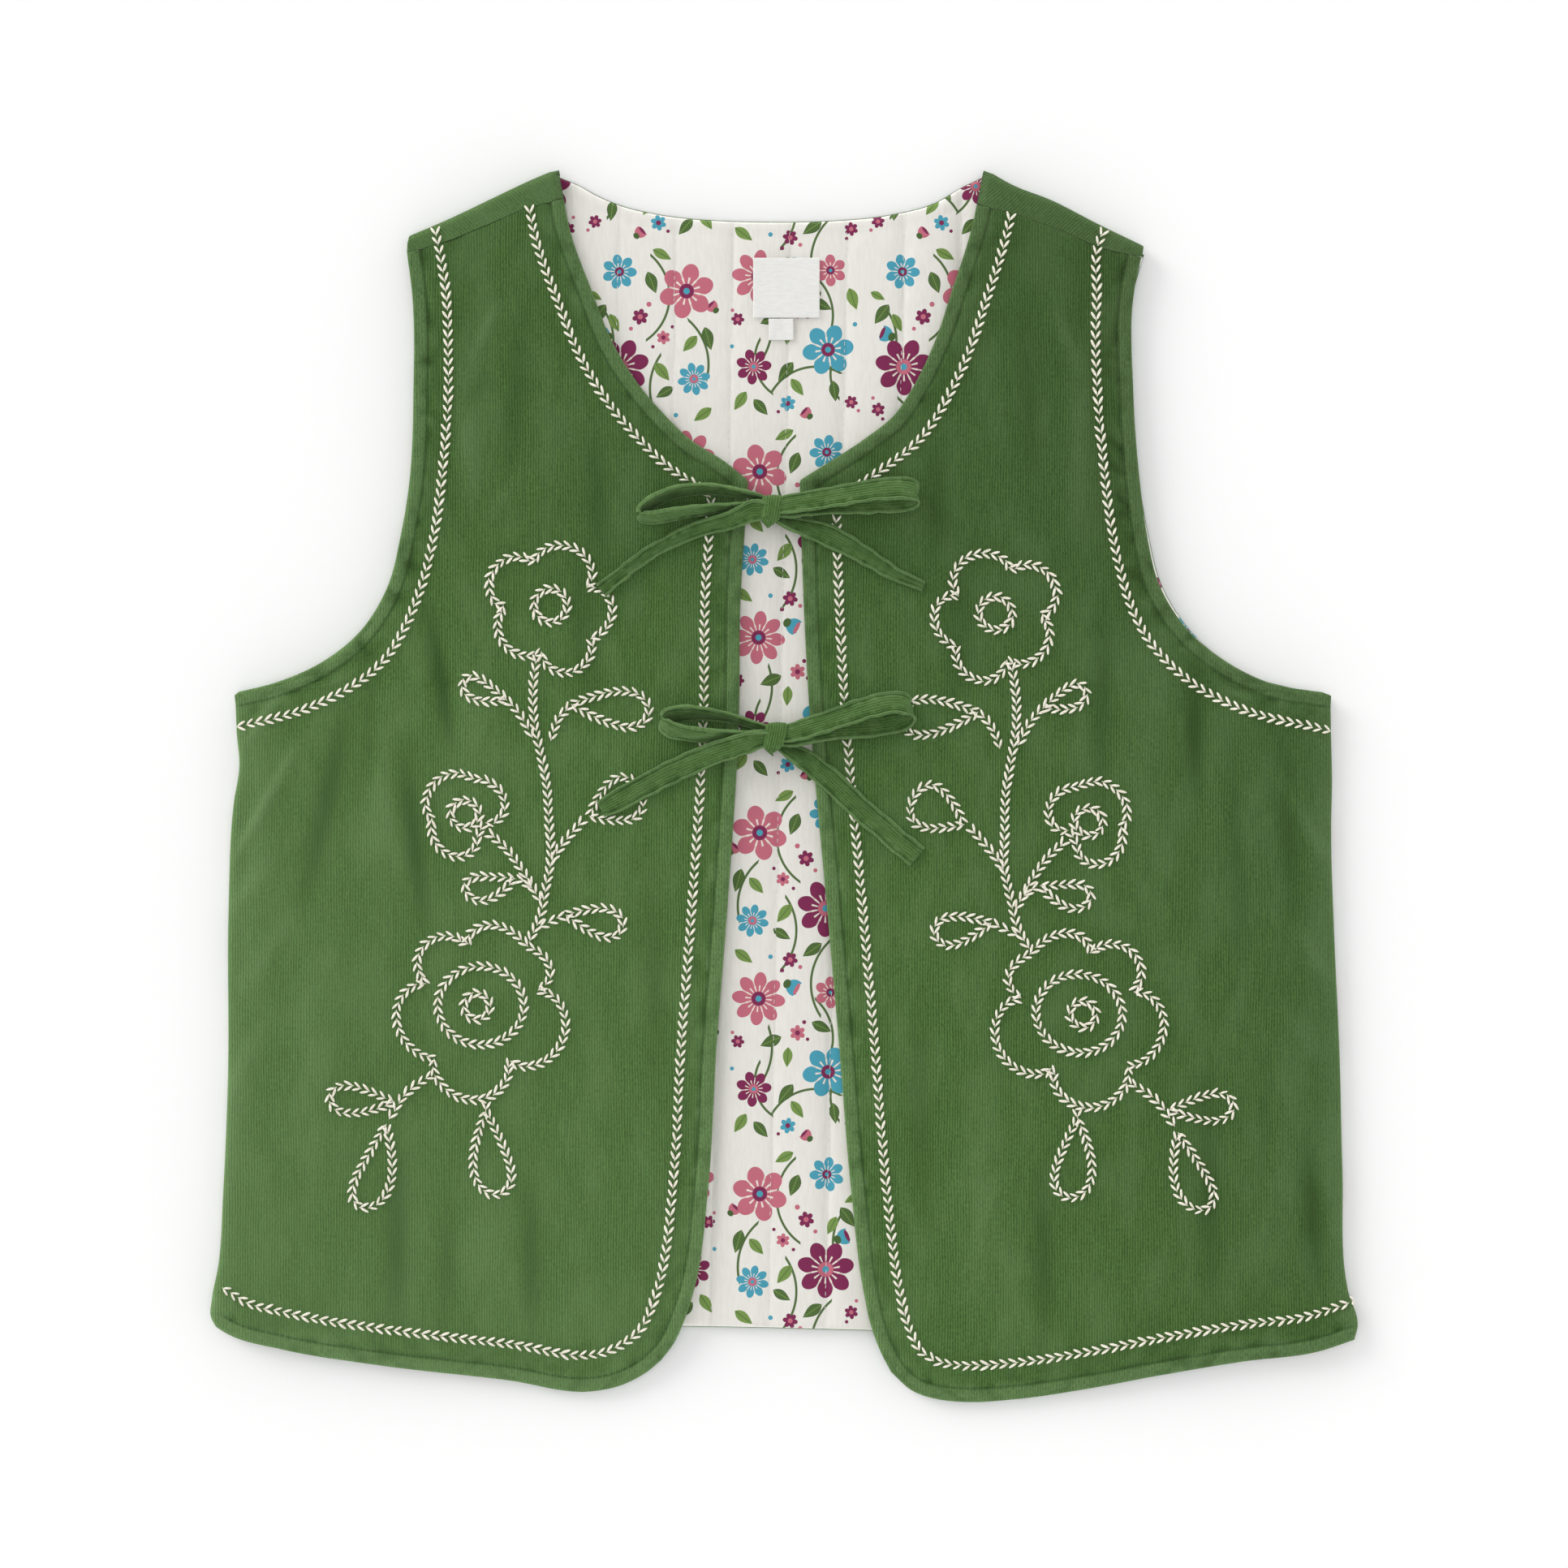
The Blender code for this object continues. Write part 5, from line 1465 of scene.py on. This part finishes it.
def laid_on(tree, line, pitch, seed, jitter=0.05, ahead_turn=4.0, flat=1.0, seen_from=1):
    """Middles and axes (side, ahead, up) of stitches at a pitch along a line of x and y, set on the surface.

    Seen from is 1 for the side that faces up and -1 for the side that faces down.
    """
    spots = evenly(line, pitch)
    middles, axes = [], []
    chance = random.Random(seed)
    for start, end in zip(spots[:-1], spots[1:]):
        middle = (start + end) / 2
        turn = math.radians(chance.gauss(0, ahead_turn))
        size = 1 + chance.gauss(0, jitter)
        hits = []
        for aside, up in FEELERS:
            goal = Vector(world((middle[0] + aside, middle[1] + up, HIGH * seen_from)))
            place, normal, _, _ = tree.ray_cast(goal, Vector((0, 0, -seen_from)))
            if place is not None:
                hits.append((place.z * seen_from, place, normal))
        if not hits:
            continue
        place, normal = hits[0][1:]
        highest = max(hits, key=lambda hit: hit[0])
        if highest[0] > hits[0][0] + SEAM_STEP * MM:
            place, normal = highest[1:]
        if normal.z * seen_from < 0:
            normal = -normal
        ahead = Vector((*(end - start), 0.0))
        ahead = (ahead - normal * ahead.dot(normal)).normalized()
        side = ahead.cross(normal)
        turned_ahead = ahead * math.cos(turn) + side * math.sin(turn)
        turned_side = side * math.cos(turn) - ahead * math.sin(turn)
        middles.append(np.array(place) / MM - SHIFT)
        axes.append([np.array(turned_side) * size, np.array(turned_ahead) * size, np.array(normal) * flat])
    return np.array(middles), np.array(axes)


def gathered(places):
    return np.vstack([middles for middles, _ in places]), np.vstack([axes for _, axes in places])


def chevron():
    """One V stitch: two arms to its point and the short catch stitch that leads on."""
    arms = []
    for sign in (-1, 1):
        path = []
        for share in np.linspace(0, 1, 6):
            rise = 0.22 + 0.36 * math.sin(math.pi * (0.15 + 0.7 * share))
            path.append((sign * (2.1 - 1.9 * share), -2.0 + 3.5 * share, rise))
        arms.append(strand(path, (0.2, 0.5, 0.58, 0.58, 0.5, 0.22)))
    catch = strand([(0, 1.3, 0.05), (0, 1.75, 0.3), (0, 2.35, 0.02)], (0.2, 0.3, 0.12), 4)
    return joined(*arms, catch)


def short_stitch(length, radius, rise):
    path = [(0, -length / 2, -0.1), (0, -length / 4, rise), (0, length / 4, rise), (0, length / 2, -0.1)]
    return strand(path, (radius * 0.5, radius, radius, radius * 0.5), 5)


def offset_line(line, inset, outline, middle, keep=0.98, near=()):
    """A line moved towards the middle by an inset, without what comes too close to the outline.

    Where it meets one of the lines in near, it starts just past the last crossing.
    """
    line = evenly(line, 2.0)
    ahead = np.gradient(line, axis=0)
    ahead /= np.linalg.norm(ahead, axis=1)[:, None]
    sideways = np.column_stack([-ahead[:, 1], ahead[:, 0]])
    if np.sum(sideways * (middle - line)) < 0:
        sideways = -sideways
    moved = line + sideways * inset
    distance, _ = nearest(moved, outline)
    moved = moved[distance > inset * keep]
    for earlier in near:
        distance, _ = nearest(moved, earlier)
        clear = np.nonzero(distance < 3.0)[0]
        if len(clear):
            moved = moved[clear[-1] + 1 :]
    return moved


def flower_line(middle, rows):
    points = []
    for index, (angle, notch, lobe) in enumerate(rows):
        next_angle, next_notch, _ = rows[(index + 1) % len(rows)]
        if next_angle <= angle:
            next_angle += 360
        for share in np.linspace(0, 1, 14, endpoint=False):
            base = notch + (next_notch - notch) * share
            radius = base + (lobe - base) * math.sin(math.pi * share) ** 0.62
            turn = math.radians(angle + (next_angle - angle) * share)
            points.append((middle[0] + radius * math.cos(turn), middle[1] + radius * math.sin(turn)))
    return np.array((points + points[:1])[::-1])


def leaf_line(x0, y0, x1, y1, half_width, bend):
    axis = np.array([x1 - x0, y1 - y0])
    side = np.array([-axis[1], axis[0]]) / np.linalg.norm(axis)
    points = []
    for turn in np.linspace(0, 2 * np.pi, 40):
        along = math.sin(turn / 2) ** 1.25
        wide = half_width * math.sin(turn) * (0.55 + 0.45 * math.sin(turn / 2)) * 1.12
        centre = np.array([x0, y0]) + axis * along + side * bend * math.sin(math.pi * along)
        points.append(centre + side * wide)
    return np.array(points)


def ring_line(x, y, half_width, half_height):
    turns = np.linspace(0, 2 * np.pi, 48)
    return np.column_stack([x + half_width * np.cos(turns), y - half_height * np.sin(turns)])


motif_lines = [flower_line(middle, rows) for middle, rows in FLOWERS]
motif_lines += [ring_line(*row) for row in RINGS]
motif_lines += [smooth(rows) for rows in STEMS]
motif_lines += [leaf_line(*row) for row in LEAVES]


def on_right_front(line):
    """A motif's line mirrored, and set a little lower and aslant as it is stitched on the right front."""
    x, y = line[:, 0], line[:, 1]
    return np.column_stack([2 * MIRROR_X - x + (83.0 - y) * 0.034 - 3.7, y - 3.7 * ease((y + 230.0) / 90.0)])


def carried_on(line, length):
    """A line made longer at its end, straight on."""
    ahead = (line[-1] - line[-2]) / np.linalg.norm(line[-1] - line[-2])
    return np.vstack([line, line[-1] + ahead * length])


STITCH_LENGTH = 2.1
BORDER_RUN_ON = 7.0
CHEVRON_SEED, TOPSTITCH_SEED, QUILTING_SEED, BACK_SEED = 200, 300, 400, 500


def front_embroidery(side_name, piece, edges, arm_border, mirrored):
    """Borders and motifs in chevron stitches, and the topstitching near the edges."""
    armhole, hem, front_edge, neck = edges
    middle = np.vstack([armhole, hem, front_edge, neck]).mean(axis=0)
    lower_edges = [neck[::-1], front_edge[::-1], hem[::-1]]
    stitched_outline = np.vstack([hem, front_edge, neck])
    tree = tree_of(piece, back_piece)
    border = [offset_line(line, BORDER_INSET, stitched_outline, middle) for line in lower_edges[:2]]
    border = np.vstack(border + [offset_line(lower_edges[2], HEM_INSET, hem, middle, near=border)])
    border = carried_on(border, BORDER_RUN_ON)
    lines = [(smooth(arm_border), CHEVRON_PITCH), (border, CHEVRON_PITCH)]
    for line in motif_lines:
        if mirrored:
            line = on_right_front(line)
        lines.append((line, MOTIF_PITCH))
    places = [
        laid_on(tree, line, pitch, CHEVRON_SEED + number) for number, (line, pitch) in enumerate(lines)
    ]
    copies(f"embroidery_{side_name}", chevron(), gathered(places), [yarn_look])
    lower_row = [offset_line(line, STITCH_INSET, stitched_outline, middle) for line in lower_edges]
    rows = [offset_line(armhole, STITCH_INSET, armhole, middle), np.vstack(lower_row)]
    stitches = [
        laid_on(tree, row, STITCH_PITCH, TOPSTITCH_SEED + number, 0.04, 2.0)
        for number, row in enumerate(rows)
    ]
    stitch = short_stitch(STITCH_LENGTH, 0.17, 0.1)
    copies(f"topstitching_{side_name}", stitch, gathered(stitches), [green_thread])


front_embroidery("left", left_piece, left_edges, LEFT_ARM_BORDER, False)
front_embroidery("right", right_piece, right_edges, RIGHT_ARM_BORDER, True)

# The back's borders and topstitching face down, and lie flatter

back_tree = tree_of(back_piece)
hem_line = smooth(BACK_HEM)
hem_border = np.column_stack([hem_line[:, 0], hem_line[:, 1] + BORDER_INSET])
back_lines = [smooth(LEFT_ARM_BORDER), smooth(RIGHT_ARM_BORDER), hem_border]
back_places = [
    laid_on(back_tree, line, CHEVRON_PITCH, BACK_SEED + number, flat=0.4, seen_from=-1)
    for number, line in enumerate(back_lines)
]
copies("embroidery_back", chevron(), gathered(back_places), [yarn_look])
hem_stitches = np.column_stack([hem_line[:, 0], hem_line[:, 1] + STITCH_INSET])
back_places = [laid_on(back_tree, hem_stitches, STITCH_PITCH, BACK_SEED + 10, 0.04, 2.0, seen_from=-1)]
copies("topstitching_back", short_stitch(STITCH_LENGTH, 0.17, 0.06), gathered(back_places), [green_thread])

# Quilting lines, stitched where the lining shows: some down to the hem, the others only inside the neck

QUILTING_PITCH = 3.4
LONG_LINES = range(-2, 2)
QUILTING_LOW, QUILTING_NECK_LOW, QUILTING_HIGH = -246.0, 128.0, 262.0
lining_tree = tree_of(lining_piece)
quilting = []
for line_number in range(-4, 5):
    low_y = QUILTING_LOW if line_number in LONG_LINES else QUILTING_NECK_LOW
    heights = np.arange(low_y, QUILTING_HIGH, 4.0)
    rows_of_line = np.column_stack([quilt_line(line_number, heights), heights])
    stitches = laid_on(lining_tree, rows_of_line, QUILTING_PITCH, QUILTING_SEED + line_number, 0.05, 3.0)
    quilting.append(stitches)
copies("quilting_stitches", short_stitch(STITCH_LENGTH, 0.14, 0.06), gathered(quilting), [white_thread])


# The areas inside the shoulder yokes' cut outlines, in square metres


def cut_area(*stretches):
    """Square metres inside a closed outline of stretches in millimetres."""
    x, y = np.vstack(stretches).T
    return abs(np.dot(x, np.roll(y, -1)) - np.dot(y, np.roll(x, -1))) / 2 * MM**2


yoke_area = cut_area(LEFT_SHOULDER_SEAM, LEFT_SHOULDER_FOLD[::-1])
yoke_area += cut_area(RIGHT_SHOULDER_SEAM, RIGHT_SHOULDER_FOLD[::-1])

# Each tie is one strip, with the root and knot that the loop runs on into; the loop below goes through the
# loops and tails and keeps nothing
for name, (piece, length) in ties.items():
    bow, kind, side = name.split("_")
    if kind == "root":
        continue
    if kind == "loop":
        side == "left"
    length * MM
    "folded" if kind == "loop" else "laid"


# Floor and light: a soft low sun, and a sky that is brighter overhead and near the horizon

SUN_FROM = (-4.2, 3.3, 2.2)
SUN_STRENGTH = 1.2
SUN_SPREAD = 30
OVERHEAD = 1.45
LOW_AROUND = 4.6
AROUND = 0.3
OVERHEAD_POWER = 8.0
LOW_POWER = 4.0
FLOOR_SIZE = 6.0
FLOOR_LEVEL = -0.0006
FLOOR_COLOUR = (0.98, 0.98, 0.98, 1.0)

bpy.ops.mesh.primitive_plane_add(size=FLOOR_SIZE, location=(0, 0, FLOOR_LEVEL))
floor = bpy.context.active_object
floor.name = "floor"
floor_look = bpy.data.materials.new("pale_floor")
floor_look.use_nodes = True
floor_shader = floor_look.node_tree.nodes["Principled BSDF"]
floor_shader.inputs["Base Color"].default_value = FLOOR_COLOUR
floor_shader.inputs["Roughness"].default_value = 0.9
floor_shader.inputs["Specular IOR Level"].default_value = 0.1
floor.data.materials.append(floor_look)

sun = bpy.data.lights.new("key", "SUN")
sun.energy = SUN_STRENGTH
sun.angle = math.radians(SUN_SPREAD)
sun.color = (1.0, 0.99, 0.97)
key = bpy.data.objects.new("key", sun)
key.rotation_euler = (-Vector(SUN_FROM)).to_track_quat("-Z", "Y").to_euler()
bpy.context.scene.collection.objects.link(key)

sky = bpy.data.worlds.new("studio")
sky.use_nodes = True
TREE = sky.node_tree
backdrop = TREE.nodes["Background"]
backdrop.inputs["Color"].default_value = (1.0, 1.0, 1.0, 1.0)
direction = TREE.nodes.new("ShaderNodeSeparateXYZ")
TREE.links.new(TREE.nodes.new("ShaderNodeTexCoord").outputs["Generated"], direction.inputs[0])
height = maths("MAXIMUM", Field(direction.outputs[2]), 0.0)
overhead = maths("POWER", height, OVERHEAD_POWER)
low = maths("POWER", 1.0 - height, LOW_POWER)
feed(backdrop.inputs["Strength"], overhead * OVERHEAD + low * LOW_AROUND + AROUND)
bpy.context.scene.world = sky
bpy.context.scene.view_settings.view_transform = "Standard"
bpy.context.scene.view_settings.look = "None"

bpy.context.view_layer.update()
